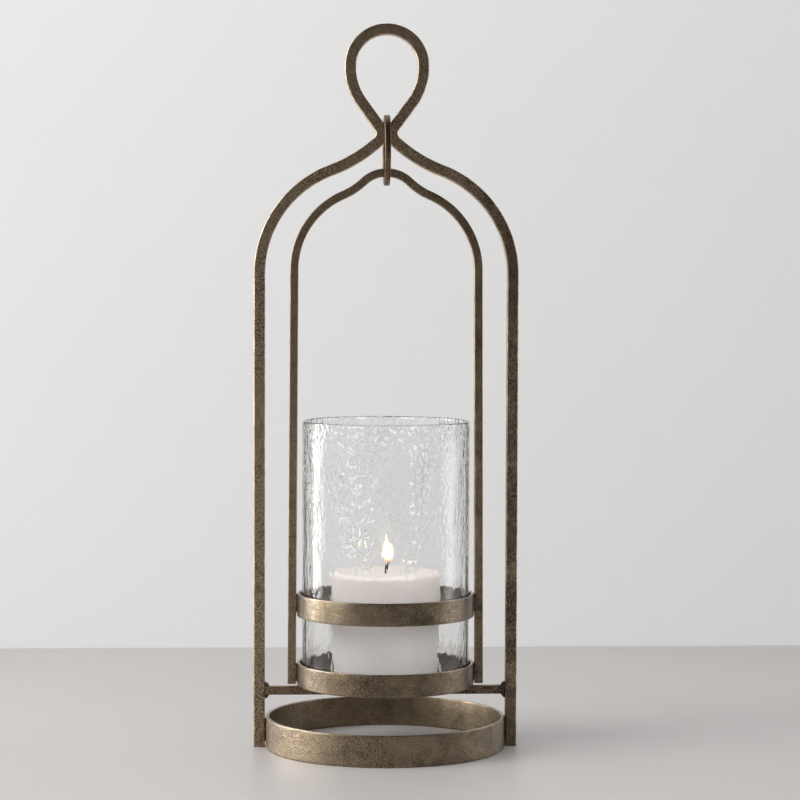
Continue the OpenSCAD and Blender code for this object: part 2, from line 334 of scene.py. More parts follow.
# ---------------------------------------------------------------------------------------------
# Finishes
# ---------------------------------------------------------------------------------------------
def antique_brass(name, deep, mid, bright, rust, roughness, dark_share, brushed_share, painted_left_light,
                  pit_share, lacquer):
    """Darkened brass. Slow blotches mix the deep and the middle tone, and a grain adds bright metal:
    fine speckle in some places and brushed streaks along the piece in others. A little reddish brown
    breaks the tone up, and the corners are rubbed. The tone is also painted lighter towards -X, a
    painted light from the left. dark_share says how much of the surface stays dark, brushed_share how
    much is streaked, the argument after it how much lighter the painted light makes the tone towards
    -X, pit_share how dark the pits are, and lacquer how strong the clear coat is."""
    mat = bpy.data.materials.new(name)
    mat.use_nodes = True
    tree = mat.node_tree
    nodes, links = tree.nodes, tree.links
    nodes.clear()

    place = nodes.new("ShaderNodeTexCoord")
    place.label = "Place on the holder"
    place.location = (-2300, 200)
    run = nodes.new("ShaderNodeUVMap")
    run.label = "Distance along and round the bar"
    run.uv_map = "UVMap"
    run.location = (-2300, -500)
    rubbed = nodes.new("ShaderNodeAttribute")
    rubbed.label = "Corners of the metal"
    rubbed.attribute_name = "worked"
    rubbed.location = (-2300, -1100)

    blotch_frame = nodes.new("NodeFrame")
    blotch_frame.label = "Slow blotches in the patina"
    blotch = nodes.new("ShaderNodeTexNoise")
    blotch.label = "Patina blotches"
    blotch.inputs["Scale"].default_value = 46.0
    blotch.inputs["Detail"].default_value = 5.0
    blotch.inputs["Roughness"].default_value = 0.62
    blotch.inputs["Distortion"].default_value = 0.6
    side = nodes.new("ShaderNodeSeparateXYZ")
    side.label = "Left or right"
    # Painted light: on the -X side the blotches are pushed towards the lighter middle tone, as where
    # the light falls from the left.
    left_light_ramp = nodes.new("ShaderNodeMapRange")
    left_light_ramp.label = "Painted light, lighter to the left"
    left_light_ramp.inputs["From Min"].default_value = POST_X / MM
    left_light_ramp.inputs["From Max"].default_value = -POST_X / MM
    left_light_ramp.inputs["To Max"].default_value = painted_left_light
    shifted = nodes.new("ShaderNodeMath")
    shifted.label = "Blotches with the side added"
    shifted.operation = "ADD"
    blotch_range = nodes.new("ShaderNodeMapRange")
    blotch_range.label = "How much stays dark"
    blotch_range.inputs["From Min"].default_value = 0.30 + 0.2 * dark_share
    blotch_range.inputs["From Max"].default_value = 0.55 + 0.2 * dark_share
    for node, x, y in ((blotch, -2000, 520), (side, -2000, 760), (left_light_ramp, -1800, 760),
                       (shifted, -1600, 620), (blotch_range, -1400, 620)):
        node.location = (x, y)
        node.parent = blotch_frame
    links.new(place.outputs["Object"], blotch.inputs["Vector"])
    links.new(place.outputs["Object"], side.inputs["Vector"])
    links.new(side.outputs["X"], left_light_ramp.inputs["Value"])
    links.new(blotch.outputs["Fac"], shifted.inputs[0])
    links.new(left_light_ramp.outputs["Result"], shifted.inputs[1])
    links.new(shifted.outputs["Value"], blotch_range.inputs["Value"])

    grain_frame = nodes.new("NodeFrame")
    grain_frame.label = "Speckle and brushed streaks"
    speck = nodes.new("ShaderNodeTexNoise")
    speck.label = "Speckle grain"
    speck.inputs["Scale"].default_value = 1150.0
    speck.inputs["Detail"].default_value = 2.5
    speck.inputs["Roughness"].default_value = 0.65
    speck_range = nodes.new("ShaderNodeMapRange")
    speck_range.label = "Speckle contrast"
    speck_range.inputs["From Min"].default_value = 0.40
    speck_range.inputs["From Max"].default_value = 0.64
    stretch = nodes.new("ShaderNodeMapping")
    stretch.label = "Streaks 20 times longer than wide"
    stretch.inputs["Scale"].default_value = (95.0, 1900.0, 1.0)
    brushed = nodes.new("ShaderNodeTexNoise")
    brushed.label = "Brush marks"
    brushed.inputs["Scale"].default_value = 1.0
    brushed.inputs["Detail"].default_value = 4.0
    brushed.inputs["Roughness"].default_value = 0.6
    brushed_range = nodes.new("ShaderNodeMapRange")
    brushed_range.label = "Streak contrast"
    brushed_range.inputs["From Min"].default_value = 0.34
    brushed_range.inputs["From Max"].default_value = 0.68
    swap = nodes.new("ShaderNodeTexNoise")
    swap.label = "Where streaks take over"
    swap.inputs["Scale"].default_value = 17.0
    swap.inputs["Detail"].default_value = 2.0
    swap_range = nodes.new("ShaderNodeMapRange")
    swap_range.label = "Share of streaks"
    swap_range.inputs["From Min"].default_value = 0.55 - 0.3 * brushed_share
    swap_range.inputs["From Max"].default_value = 0.85 - 0.3 * brushed_share
    grain = nodes.new("ShaderNodeMix")
    grain.label = "Grain of the metal"
    for node, x, y in ((speck, -2000, 120), (speck_range, -1800, 120), (stretch, -2000, -300),
                       (brushed, -1800, -300), (brushed_range, -1600, -300), (swap, -1800, -80),
                       (swap_range, -1600, -80), (grain, -1380, 20)):
        node.location = (x, y)
        node.parent = grain_frame
    links.new(place.outputs["Object"], speck.inputs["Vector"])
    links.new(speck.outputs["Fac"], speck_range.inputs["Value"])
    links.new(run.outputs["UV"], stretch.inputs["Vector"])
    links.new(stretch.outputs["Vector"], brushed.inputs["Vector"])
    links.new(brushed.outputs["Fac"], brushed_range.inputs["Value"])
    links.new(place.outputs["Object"], swap.inputs["Vector"])
    links.new(swap.outputs["Fac"], swap_range.inputs["Value"])
    links.new(swap_range.outputs["Result"], grain.inputs["Factor"])
    links.new(speck_range.outputs["Result"], grain.inputs["A"])
    links.new(brushed_range.outputs["Result"], grain.inputs["B"])

    tone_frame = nodes.new("NodeFrame")
    tone_frame.label = "Tone of the finish"
    dark_tone = nodes.new("ShaderNodeMix")
    dark_tone.label = "Dark patina over the middle tone"
    dark_tone.data_type = "RGBA"
    dark_tone.inputs["A"].default_value = (*deep, 1)
    dark_tone.inputs["B"].default_value = (*mid, 1)
    shine = nodes.new("ShaderNodeMapRange")
    shine.label = "Grain shows less in dark places"
    shine.inputs["To Min"].default_value = 0.45
    bared = nodes.new("ShaderNodeMath")
    bared.label = "Bare metal"
    bared.operation = "MULTIPLY"
    full_tone = nodes.new("ShaderNodeMix")
    full_tone.label = "Bright metal in the grain"
    full_tone.data_type = "RGBA"
    full_tone.inputs["B"].default_value = (*bright, 1)
    for node, x, y in ((dark_tone, -1160, 420), (shine, -1160, 160), (bared, -960, 60),
                       (full_tone, -760, 300)):
        node.location = (x, y)
        node.parent = tone_frame
    links.new(blotch_range.outputs["Result"], dark_tone.inputs["Factor"])
    links.new(blotch_range.outputs["Result"], shine.inputs["Value"])
    links.new(shine.outputs["Result"], bared.inputs[0])
    links.new(grain.outputs["Result"], bared.inputs[1])
    links.new(dark_tone.outputs["Result"], full_tone.inputs["A"])
    links.new(bared.outputs["Value"], full_tone.inputs["Factor"])

    rust_frame = nodes.new("NodeFrame")
    rust_frame.label = "Reddish brown breaks"
    rusty = nodes.new("ShaderNodeTexNoise")
    rusty.label = "Reddish places"
    rusty.inputs["Scale"].default_value = 120.0
    rusty.inputs["Detail"].default_value = 4.0
    rusty_range = nodes.new("ShaderNodeMapRange")
    rusty_range.label = "Few and faint"
    rusty_range.inputs["From Min"].default_value = 0.52
    rusty_range.inputs["From Max"].default_value = 0.72
    rusty_range.inputs["To Max"].default_value = 0.4
    rusty_tone = nodes.new("ShaderNodeMix")
    rusty_tone.label = "Reddish brown over the finish"
    rusty_tone.data_type = "RGBA"
    rusty_tone.inputs["B"].default_value = (*rust, 1)
    for node, x, y in ((rusty, -1160, -300), (rusty_range, -960, -300), (rusty_tone, -560, 160)):
        node.location = (x, y)
        node.parent = rust_frame
    links.new(place.outputs["Object"], rusty.inputs["Vector"])
    links.new(rusty.outputs["Fac"], rusty_range.inputs["Value"])
    links.new(full_tone.outputs["Result"], rusty_tone.inputs["A"])
    links.new(rusty_range.outputs["Result"], rusty_tone.inputs["Factor"])

    pit_frame = nodes.new("NodeFrame")
    pit_frame.label = "Dark pits"
    pitted = nodes.new("ShaderNodeTexNoise")
    pitted.label = "Pits between the speckle"
    pitted.inputs["Scale"].default_value = 1050.0
    pitted.inputs["Detail"].default_value = 1.5
    pitted_range = nodes.new("ShaderNodeMapRange")
    pitted_range.label = "Sharp dark pits"
    pitted_range.inputs["From Min"].default_value = 0.47
    pitted_range.inputs["From Max"].default_value = 0.39
    unbrushed = nodes.new("ShaderNodeMapRange")
    unbrushed.label = "Fewer pits where brushed"
    unbrushed.inputs["To Min"].default_value = pit_share
    unbrushed.inputs["To Max"].default_value = 0.25 * pit_share
    handed_pits = nodes.new("ShaderNodeMapRange")
    handed_pits.label = "More pits to the left"
    handed_pits.inputs["From Min"].default_value = POST_X / MM
    handed_pits.inputs["From Max"].default_value = -POST_X / MM
    handed_pits.inputs["To Min"].default_value = 0.3
    one_side = nodes.new("ShaderNodeMath")
    one_side.label = "Share of pits here"
    one_side.operation = "MULTIPLY"
    pit_depth = nodes.new("ShaderNodeMath")
    pit_depth.label = "Strength of the pits"
    pit_depth.operation = "MULTIPLY"
    pit_tone = nodes.new("ShaderNodeMix")
    pit_tone.label = "Near black in the pits"
    pit_tone.data_type = "RGBA"
    pit_tone.inputs["B"].default_value = (*(0.3 * c for c in deep), 1)
    for node, x, y in ((pitted, -1160, -640), (pitted_range, -960, -640), (unbrushed, -960, -900),
                       (handed_pits, -960, -1160), (one_side, -760, -960), (pit_depth, -760, -740),
                       (pit_tone, -460, -20)):
        node.location = (x, y)
        node.parent = pit_frame
    links.new(place.outputs["Object"], pitted.inputs["Vector"])
    links.new(pitted.outputs["Fac"], pitted_range.inputs["Value"])
    links.new(swap_range.outputs["Result"], unbrushed.inputs["Value"])
    links.new(pitted_range.outputs["Result"], pit_depth.inputs[0])
    links.new(side.outputs["X"], handed_pits.inputs["Value"])
    links.new(unbrushed.outputs["Result"], one_side.inputs[0])
    links.new(handed_pits.outputs["Result"], one_side.inputs[1])
    links.new(one_side.outputs["Value"], pit_depth.inputs[1])
    links.new(rusty_tone.outputs["Result"], pit_tone.inputs["A"])
    links.new(pit_depth.outputs["Value"], pit_tone.inputs["Factor"])

    worn_frame = nodes.new("NodeFrame")
    worn_frame.label = "Rubbed corners"
    patchy = nodes.new("ShaderNodeTexNoise")
    patchy.label = "Where corners are rubbed"
    patchy.inputs["Scale"].default_value = 150.0
    patchy.inputs["Detail"].default_value = 3.0
    rub = nodes.new("ShaderNodeMath")
    rub.label = "Rubbing on the corners only"
    rub.operation = "MULTIPLY"
    rub_range = nodes.new("ShaderNodeMapRange")
    rub_range.label = "Amount of rubbing"
    rub_range.inputs["From Min"].default_value = 0.30
    rub_range.inputs["From Max"].default_value = 0.70
    rub_range.inputs["To Max"].default_value = 0.8
    worn_tone = nodes.new("ShaderNodeMix")
    worn_tone.label = "Bright metal on rubbed corners"
    worn_tone.data_type = "RGBA"
    worn_tone.inputs["B"].default_value = (*(min(1.0, 1.2 * c) for c in bright), 1)
    for node, x, y in ((patchy, -2000, -1100), (rub, -1800, -1100), (rub_range, -1600, -1100),
                       (worn_tone, -360, 60)):
        node.location = (x, y)
        node.parent = worn_frame
    links.new(place.outputs["Object"], patchy.inputs["Vector"])
    links.new(patchy.outputs["Fac"], rub.inputs[0])
    links.new(rubbed.outputs["Fac"], rub.inputs[1])
    links.new(rub.outputs["Value"], rub_range.inputs["Value"])
    links.new(pit_tone.outputs["Result"], worn_tone.inputs["A"])
    links.new(rub_range.outputs["Result"], worn_tone.inputs["Factor"])

    relief_frame = nodes.new("NodeFrame")
    relief_frame.label = "Gloss and relief"
    gloss = nodes.new("ShaderNodeMapRange")
    gloss.label = "Rougher where it is dark"
    gloss.inputs["To Min"].default_value = roughness + 0.10
    gloss.inputs["To Max"].default_value = roughness - 0.08
    pits = nodes.new("ShaderNodeBump")
    pits.label = "Grain relief"
    pits.inputs["Strength"].default_value = 0.6
    pits.inputs["Distance"].default_value = 0.00012
    dents = nodes.new("ShaderNodeBump")
    dents.label = "Hammered relief"
    dents.inputs["Strength"].default_value = 0.35
    dents.inputs["Distance"].default_value = 0.0006
    for node, x, y in ((gloss, -360, -260), (pits, -360, -560), (dents, -160, -560)):
        node.location = (x, y)
        node.parent = relief_frame
    links.new(bared.outputs["Value"], gloss.inputs["Value"])
    links.new(grain.outputs["Result"], pits.inputs["Height"])
    links.new(patchy.outputs["Fac"], dents.inputs["Height"])
    links.new(pits.outputs["Normal"], dents.inputs["Normal"])

    metal = nodes.new("ShaderNodeBsdfPrincipled")
    metal.label = "Antique brass"
    metal.inputs["Metallic"].default_value = 1.0
    metal.inputs["Coat Weight"].default_value = lacquer
    metal.inputs["Coat Roughness"].default_value = 0.28
    metal.location = (60, 100)
    out = nodes.new("ShaderNodeOutputMaterial")
    out.label = "Surface of the brass"
    out.location = (360, 100)
    links.new(worn_tone.outputs["Result"], metal.inputs["Base Color"])
    links.new(gloss.outputs["Result"], metal.inputs["Roughness"])
    links.new(dents.outputs["Normal"], metal.inputs["Normal"])
    links.new(metal.outputs["BSDF"], out.inputs["Surface"])
    return mat


def drip_glass():
    """Clear glass with the look of water running down it: broad soft runs everywhere, and where the
    wall is crinkled, cells laid along the wall with creases between them. The crease shoulders are
    tinted grey, a painted shade for the dark lines that the creases bend into view. The crease bottoms
    let less light through and show as pale lines, a painted highlight in place of glints. Light passes
    through the glass's shadow."""
    mat = bpy.data.materials.new("drip_glass")
    mat.use_nodes = True
    tree = mat.node_tree
    nodes, links = tree.nodes, tree.links
    nodes.clear()
    place = nodes.new("ShaderNodeTexCoord")
    place.label = "Place on the holder"
    place.location = (-1900, 0)

    wall_place = nodes.new("ShaderNodeUVMap")
    wall_place.label = "Distance round and up the wall"
    wall_place.uv_map = "UVMap"
    wall_place.location = (-1900, -300)

    runs_frame = nodes.new("NodeFrame")
    runs_frame.label = "Broad runs"
    tall = nodes.new("ShaderNodeMapping")
    tall.label = "Four times taller than wide"
    tall.inputs["Scale"].default_value = (1.0, 1.0, 0.25)
    runs = nodes.new("ShaderNodeTexNoise")
    runs.label = "Runs of water"
    runs.inputs["Scale"].default_value = 150.0
    runs.inputs["Detail"].default_value = 2.0
    runs.inputs["Distortion"].default_value = 0.8
    for node, x, y in ((tall, -1680, 260), (runs, -1480, 260)):
        node.location = (x, y)
        node.parent = runs_frame
    links.new(place.outputs["Object"], tall.inputs["Vector"])
    links.new(tall.outputs["Vector"], runs.inputs["Vector"])

    crease_frame = nodes.new("NodeFrame")
    crease_frame.label = "Crinkled cells"
    bend = nodes.new("ShaderNodeTexNoise")
    bend.label = "Bends the cells"
    bend.inputs["Scale"].default_value = 75.0
    bend.inputs["Detail"].default_value = 2.0
    shove = nodes.new("ShaderNodeVectorMath")
    shove.label = "By a few mm"
    shove.operation = "SCALE"
    shove.inputs["Scale"].default_value = 0.0055
    bent = nodes.new("ShaderNodeVectorMath")
    bent.label = "Bent place"
    bent.operation = "ADD"
    drawn = nodes.new("ShaderNodeMapping")
    drawn.label = "Cells drawn downwards"
    drawn.inputs["Scale"].default_value = (1.0, 0.68, 1.0)
    cells = nodes.new("ShaderNodeTexVoronoi")
    cells.label = "Cells of glass"
    cells.voronoi_dimensions = "2D"
    cells.feature = "DISTANCE_TO_EDGE"
    cells.inputs["Scale"].default_value = 205.0
    crease = nodes.new("ShaderNodeMapRange")
    crease.label = "Narrow creases"
    crease.interpolation_type = "SMOOTHSTEP"
    crease.inputs["From Max"].default_value = 0.38
    where = nodes.new("ShaderNodeAttribute")
    where.label = "Where the wall is crinkled"
    where.attribute_name = "worked"
    crinkle = nodes.new("ShaderNodeMath")
    crinkle.label = "Creases in their places"
    crinkle.operation = "MULTIPLY"
    for node, x, y in ((bend, -1680, -140), (shove, -1480, -140), (bent, -1300, -60),
                       (drawn, -1120, -60), (cells, -920, -60), (crease, -720, -60),
                       (where, -720, -340), (crinkle, -520, -140)):
        node.location = (x, y)
        node.parent = crease_frame
    links.new(wall_place.outputs["UV"], bend.inputs["Vector"])
    links.new(bend.outputs["Color"], shove.inputs[0])
    links.new(wall_place.outputs["UV"], bent.inputs[0])
    links.new(shove.outputs["Vector"], bent.inputs[1])
    links.new(bent.outputs["Vector"], drawn.inputs["Vector"])
    links.new(drawn.outputs["Vector"], cells.inputs["Vector"])
    links.new(cells.outputs["Distance"], crease.inputs["Value"])
    links.new(crease.outputs["Result"], crinkle.inputs[0])
    links.new(where.outputs["Fac"], crinkle.inputs[1])

    line_frame = nodes.new("NodeFrame")
    line_frame.label = "Painted shade and highlight along the cells"
    line = nodes.new("ShaderNodeMapRange")
    line.label = "Bottom of the crease"
    line.inputs["From Min"].default_value = 0.15
    line.inputs["From Max"].default_value = 0.02
    shoulder = nodes.new("ShaderNodeMapRange")
    shoulder.label = "Shoulders of the crease"
    shoulder.inputs["From Min"].default_value = 0.30
    shoulder.inputs["From Max"].default_value = 0.08
    crease_shade_mask = nodes.new("ShaderNodeMath")
    crease_shade_mask.label = "Shoulders in their places"
    crease_shade_mask.operation = "MULTIPLY"
    lined = nodes.new("ShaderNodeMath")
    lined.label = "Outlines in their places"
    lined.operation = "MULTIPLY"
    # Painted shade: the glass's colour turns grey on the shoulders of the creases.
    tint = nodes.new("ShaderNodeMix")
    tint.label = "Painted shade in the crease shoulders"
    tint.data_type = "RGBA"
    tint.inputs["A"].default_value = (0.985, 0.99, 0.99, 1)
    tint.inputs["B"].default_value = (0.68, 0.69, 0.70, 1)
    # Painted highlight: the crease bottoms let less light through, so that they show as pale lines.
    pale_crease_lines = nodes.new("ShaderNodeMapRange")
    pale_crease_lines.label = "Pale crease lines as painted highlight"
    pale_crease_lines.inputs["To Min"].default_value = 1.0
    pale_crease_lines.inputs["To Max"].default_value = 0.12
    for node, x, y in ((line, -720, -560), (shoulder, -720, -800), (crease_shade_mask, -520, -800),
                       (lined, -520, -560), (tint, -320, -460), (pale_crease_lines, -320, -700)):
        node.location = (x, y)
        node.parent = line_frame
    links.new(cells.outputs["Distance"], line.inputs["Value"])
    links.new(line.outputs["Result"], lined.inputs[0])
    links.new(where.outputs["Fac"], lined.inputs[1])
    links.new(cells.outputs["Distance"], shoulder.inputs["Value"])
    links.new(shoulder.outputs["Result"], crease_shade_mask.inputs[0])
    links.new(where.outputs["Fac"], crease_shade_mask.inputs[1])
    links.new(crease_shade_mask.outputs["Value"], tint.inputs["Factor"])
    links.new(lined.outputs["Value"], pale_crease_lines.inputs["Value"])

    relief_frame = nodes.new("NodeFrame")
    relief_frame.label = "Relief of the glass"
    run_bump = nodes.new("ShaderNodeBump")
    run_bump.label = "Relief of the runs"
    run_bump.inputs["Strength"].default_value = 0.55
    run_bump.inputs["Distance"].default_value = 0.0005
    crease_bump = nodes.new("ShaderNodeBump")
    crease_bump.label = "Relief of the creases"
    crease_bump.inputs["Strength"].default_value = 1.0
    crease_bump.inputs["Distance"].default_value = 0.00085
    for node, x, y in ((run_bump, -320, 160), (crease_bump, -140, 20)):
        node.location = (x, y)
        node.parent = relief_frame
    links.new(runs.outputs["Fac"], run_bump.inputs["Height"])
    links.new(crinkle.outputs["Value"], crease_bump.inputs["Height"])
    links.new(run_bump.outputs["Normal"], crease_bump.inputs["Normal"])

    glass = nodes.new("ShaderNodeBsdfPrincipled")
    glass.label = "Clear glass"
    glass.inputs["Roughness"].default_value = 0.02
    glass.inputs["IOR"].default_value = 1.47
    glass.location = (60, 120)
    ray = nodes.new("ShaderNodeLightPath")
    ray.label = "Is this a shadow"
    ray.location = (60, 480)
    clear = nodes.new("ShaderNodeBsdfTransparent")
    clear.label = "Light through the glass"
    clear.inputs["Color"].default_value = (0.93, 0.94, 0.94, 1)
    clear.location = (60, -300)
    mix = nodes.new("ShaderNodeMixShader")
    mix.label = "Glass, with a clear shadow"
    mix.location = (440, 120)
    out = nodes.new("ShaderNodeOutputMaterial")
    out.label = "Surface of the glass"
    out.location = (640, 120)
    links.new(tint.outputs["Result"], glass.inputs["Base Color"])
    links.new(crease_bump.outputs["Normal"], glass.inputs["Normal"])
    links.new(ray.outputs["Is Shadow Ray"], mix.inputs["Fac"])
    links.new(pale_crease_lines.outputs["Result"], glass.inputs["Transmission Weight"])
    links.new(glass.outputs["BSDF"], mix.inputs[1])
    links.new(clear.outputs["BSDF"], mix.inputs[2])
    links.new(mix.outputs["Shader"], out.inputs["Surface"])
    return mat


def candle_wax():
    """Ivory wax: cloudy tone, light scattered inside, and a painted warm glow from the flame: an
    emission that fades with the distance from the flame."""
    mat = bpy.data.materials.new("ivory_wax")
    mat.use_nodes = True
    tree = mat.node_tree
    nodes, links = tree.nodes, tree.links
    nodes.clear()
    place = nodes.new("ShaderNodeTexCoord")
    place.label = "Place on the holder"
    place.location = (-1300, 0)

    tone_frame = nodes.new("NodeFrame")
    tone_frame.label = "Cloudy wax"
    cloud = nodes.new("ShaderNodeTexNoise")
    cloud.label = "Cloudiness"
    cloud.inputs["Scale"].default_value = 55.0
    cloud.inputs["Detail"].default_value = 4.0
    tone = nodes.new("ShaderNodeMix")
    tone.label = "Ivory tones"
    tone.data_type = "RGBA"
    tone.inputs["A"].default_value = (0.575, 0.532, 0.508, 1)
    tone.inputs["B"].default_value = (0.645, 0.617, 0.602, 1)
    for node, x, y in ((cloud, -1000, 200), (tone, -760, 200)):
        node.location = (x, y)
        node.parent = tone_frame
    links.new(place.outputs["Object"], cloud.inputs["Vector"])
    links.new(cloud.outputs["Fac"], tone.inputs["Factor"])

    glow_frame = nodes.new("NodeFrame")
    glow_frame.label = "Painted glow near the flame"
    # Painted light: the wax glows by itself near the flame, as if lit by it.
    reach = nodes.new("ShaderNodeVectorMath")
    reach.label = "Distance from the flame's foot"
    reach.operation = "DISTANCE"
    reach.inputs[1].default_value = (0.001, 0.0, 0.128)
    fade = nodes.new("ShaderNodeMapRange")
    fade.label = "Painted glow fades outwards"
    fade.interpolation_type = "SMOOTHERSTEP"
    fade.inputs["From Min"].default_value = 0.004
    fade.inputs["From Max"].default_value = 0.070
    fade.inputs["To Min"].default_value = 0.10
    fade.inputs["To Max"].default_value = 0.0
    for node, x, y in ((reach, -1000, -140), (fade, -760, -140)):
        node.location = (x, y)
        node.parent = glow_frame
    links.new(place.outputs["Object"], reach.inputs[0])
    links.new(reach.outputs["Value"], fade.inputs["Value"])

    relief_frame = nodes.new("NodeFrame")
    relief_frame.label = "Soft relief and gloss"
    dimples = nodes.new("ShaderNodeTexNoise")
    dimples.label = "Dimples from the mould"
    dimples.inputs["Scale"].default_value = 240.0
    dimples.inputs["Detail"].default_value = 3.0
    relief = nodes.new("ShaderNodeBump")
    relief.label = "Relief of the wax"
    relief.inputs["Strength"].default_value = 0.25
    relief.inputs["Distance"].default_value = 0.0004
    gloss = nodes.new("ShaderNodeMapRange")
    gloss.label = "Uneven gloss"
    gloss.inputs["To Min"].default_value = 0.36
    gloss.inputs["To Max"].default_value = 0.56
    for node, x, y in ((dimples, -1000, -480), (relief, -500, -480), (gloss, -500, -220)):
        node.location = (x, y)
        node.parent = relief_frame
    links.new(place.outputs["Object"], dimples.inputs["Vector"])
    links.new(dimples.outputs["Fac"], relief.inputs["Height"])
    links.new(dimples.outputs["Fac"], gloss.inputs["Value"])

    wax = nodes.new("ShaderNodeBsdfPrincipled")
    wax.label = "Ivory wax"
    wax.inputs["Subsurface Weight"].default_value = 0.75
    wax.inputs["Subsurface Radius"].default_value = (1.0, 0.62, 0.42)
    wax.inputs["Subsurface Scale"].default_value = 0.016
    wax.inputs["Emission Color"].default_value = (1.0, 0.66, 0.50, 1)
    wax.location = (-200, 100)
    out = nodes.new("ShaderNodeOutputMaterial")
    out.label = "Surface of the wax"
    out.location = (120, 100)
    links.new(tone.outputs["Result"], wax.inputs["Base Color"])
    links.new(fade.outputs["Result"], wax.inputs["Emission Strength"])
    links.new(gloss.outputs["Result"], wax.inputs["Roughness"])
    links.new(relief.outputs["Normal"], wax.inputs["Normal"])
    links.new(wax.outputs["BSDF"], out.inputs["Surface"])
    return mat


def burnt_wick():
    """Charred braid: dark plaited cotton, with an ember glow at its tip."""
    mat = bpy.data.materials.new("burnt_wick")
    mat.use_nodes = True
    tree = mat.node_tree
    nodes, links = tree.nodes, tree.links
    nodes.clear()
    place = nodes.new("ShaderNodeTexCoord")
    place.label = "Place on the holder"
    place.location = (-1100, 0)
    run = nodes.new("ShaderNodeUVMap")
    run.label = "Distance along and round the wick"
    run.uv_map = "UVMap"
    run.location = (-1100, -300)
    plait_frame = nodes.new("NodeFrame")
    plait_frame.label = "Plait"
    slant = nodes.new("ShaderNodeMapping")
    slant.label = "Slant of the strands"
    slant.inputs["Rotation"].default_value = (0, 0, 0.7)
    slant.inputs["Scale"].default_value = (900, 900, 1)
    strands = nodes.new("ShaderNodeTexWave")
    strands.label = "Strands"
    strands.inputs["Scale"].default_value = 1.0
    strands.inputs["Distortion"].default_value = 1.5
    tone = nodes.new("ShaderNodeMix")
    tone.label = "Soot and ash"
    tone.data_type = "RGBA"
    tone.inputs["A"].default_value = (0.012, 0.010, 0.009, 1)
    tone.inputs["B"].default_value = (0.09, 0.075, 0.065, 1)
    for node, x, y in ((slant, -900, -300), (strands, -700, -300), (tone, -480, 60)):
        node.location = (x, y)
        node.parent = plait_frame
    links.new(run.outputs["UV"], slant.inputs["Vector"])
    links.new(slant.outputs["Vector"], strands.inputs["Vector"])
    links.new(strands.outputs["Fac"], tone.inputs["Factor"])
    ember_frame = nodes.new("NodeFrame")
    ember_frame.label = "Ember at the tip"
    split = nodes.new("ShaderNodeSeparateXYZ")
    split.label = "Height"
    ember = nodes.new("ShaderNodeMapRange")
    ember.label = "Only the tip glows"
    ember.inputs["From Min"].default_value = 0.1305
    ember.inputs["From Max"].default_value = 0.1325
    ember.inputs["To Max"].default_value = 3.0
    for node, x, y in ((split, -700, 300), (ember, -480, 300)):
        node.location = (x, y)
        node.parent = ember_frame
    links.new(place.outputs["Object"], split.inputs["Vector"])
    links.new(split.outputs["Z"], ember.inputs["Value"])
    relief = nodes.new("ShaderNodeBump")
    relief.label = "Relief of the strands"
    relief.inputs["Distance"].default_value = 0.0002
    relief.location = (-480, -300)
    links.new(strands.outputs["Fac"], relief.inputs["Height"])
    char = nodes.new("ShaderNodeBsdfPrincipled")
    char.label = "Charred cotton"
    char.inputs["Roughness"].default_value = 0.9
    char.inputs["Emission Color"].default_value = (1.0, 0.25, 0.05, 1)
    char.location = (-200, 0)
    out = nodes.new("ShaderNodeOutputMaterial")
    out.label = "Surface of the wick"
    out.location = (120, 0)
    links.new(tone.outputs["Result"], char.inputs["Base Color"])
    links.new(ember.outputs["Result"], char.inputs["Emission Strength"])
    links.new(relief.outputs["Normal"], char.inputs["Normal"])
    links.new(char.outputs["BSDF"], out.inputs["Surface"])
    return mat


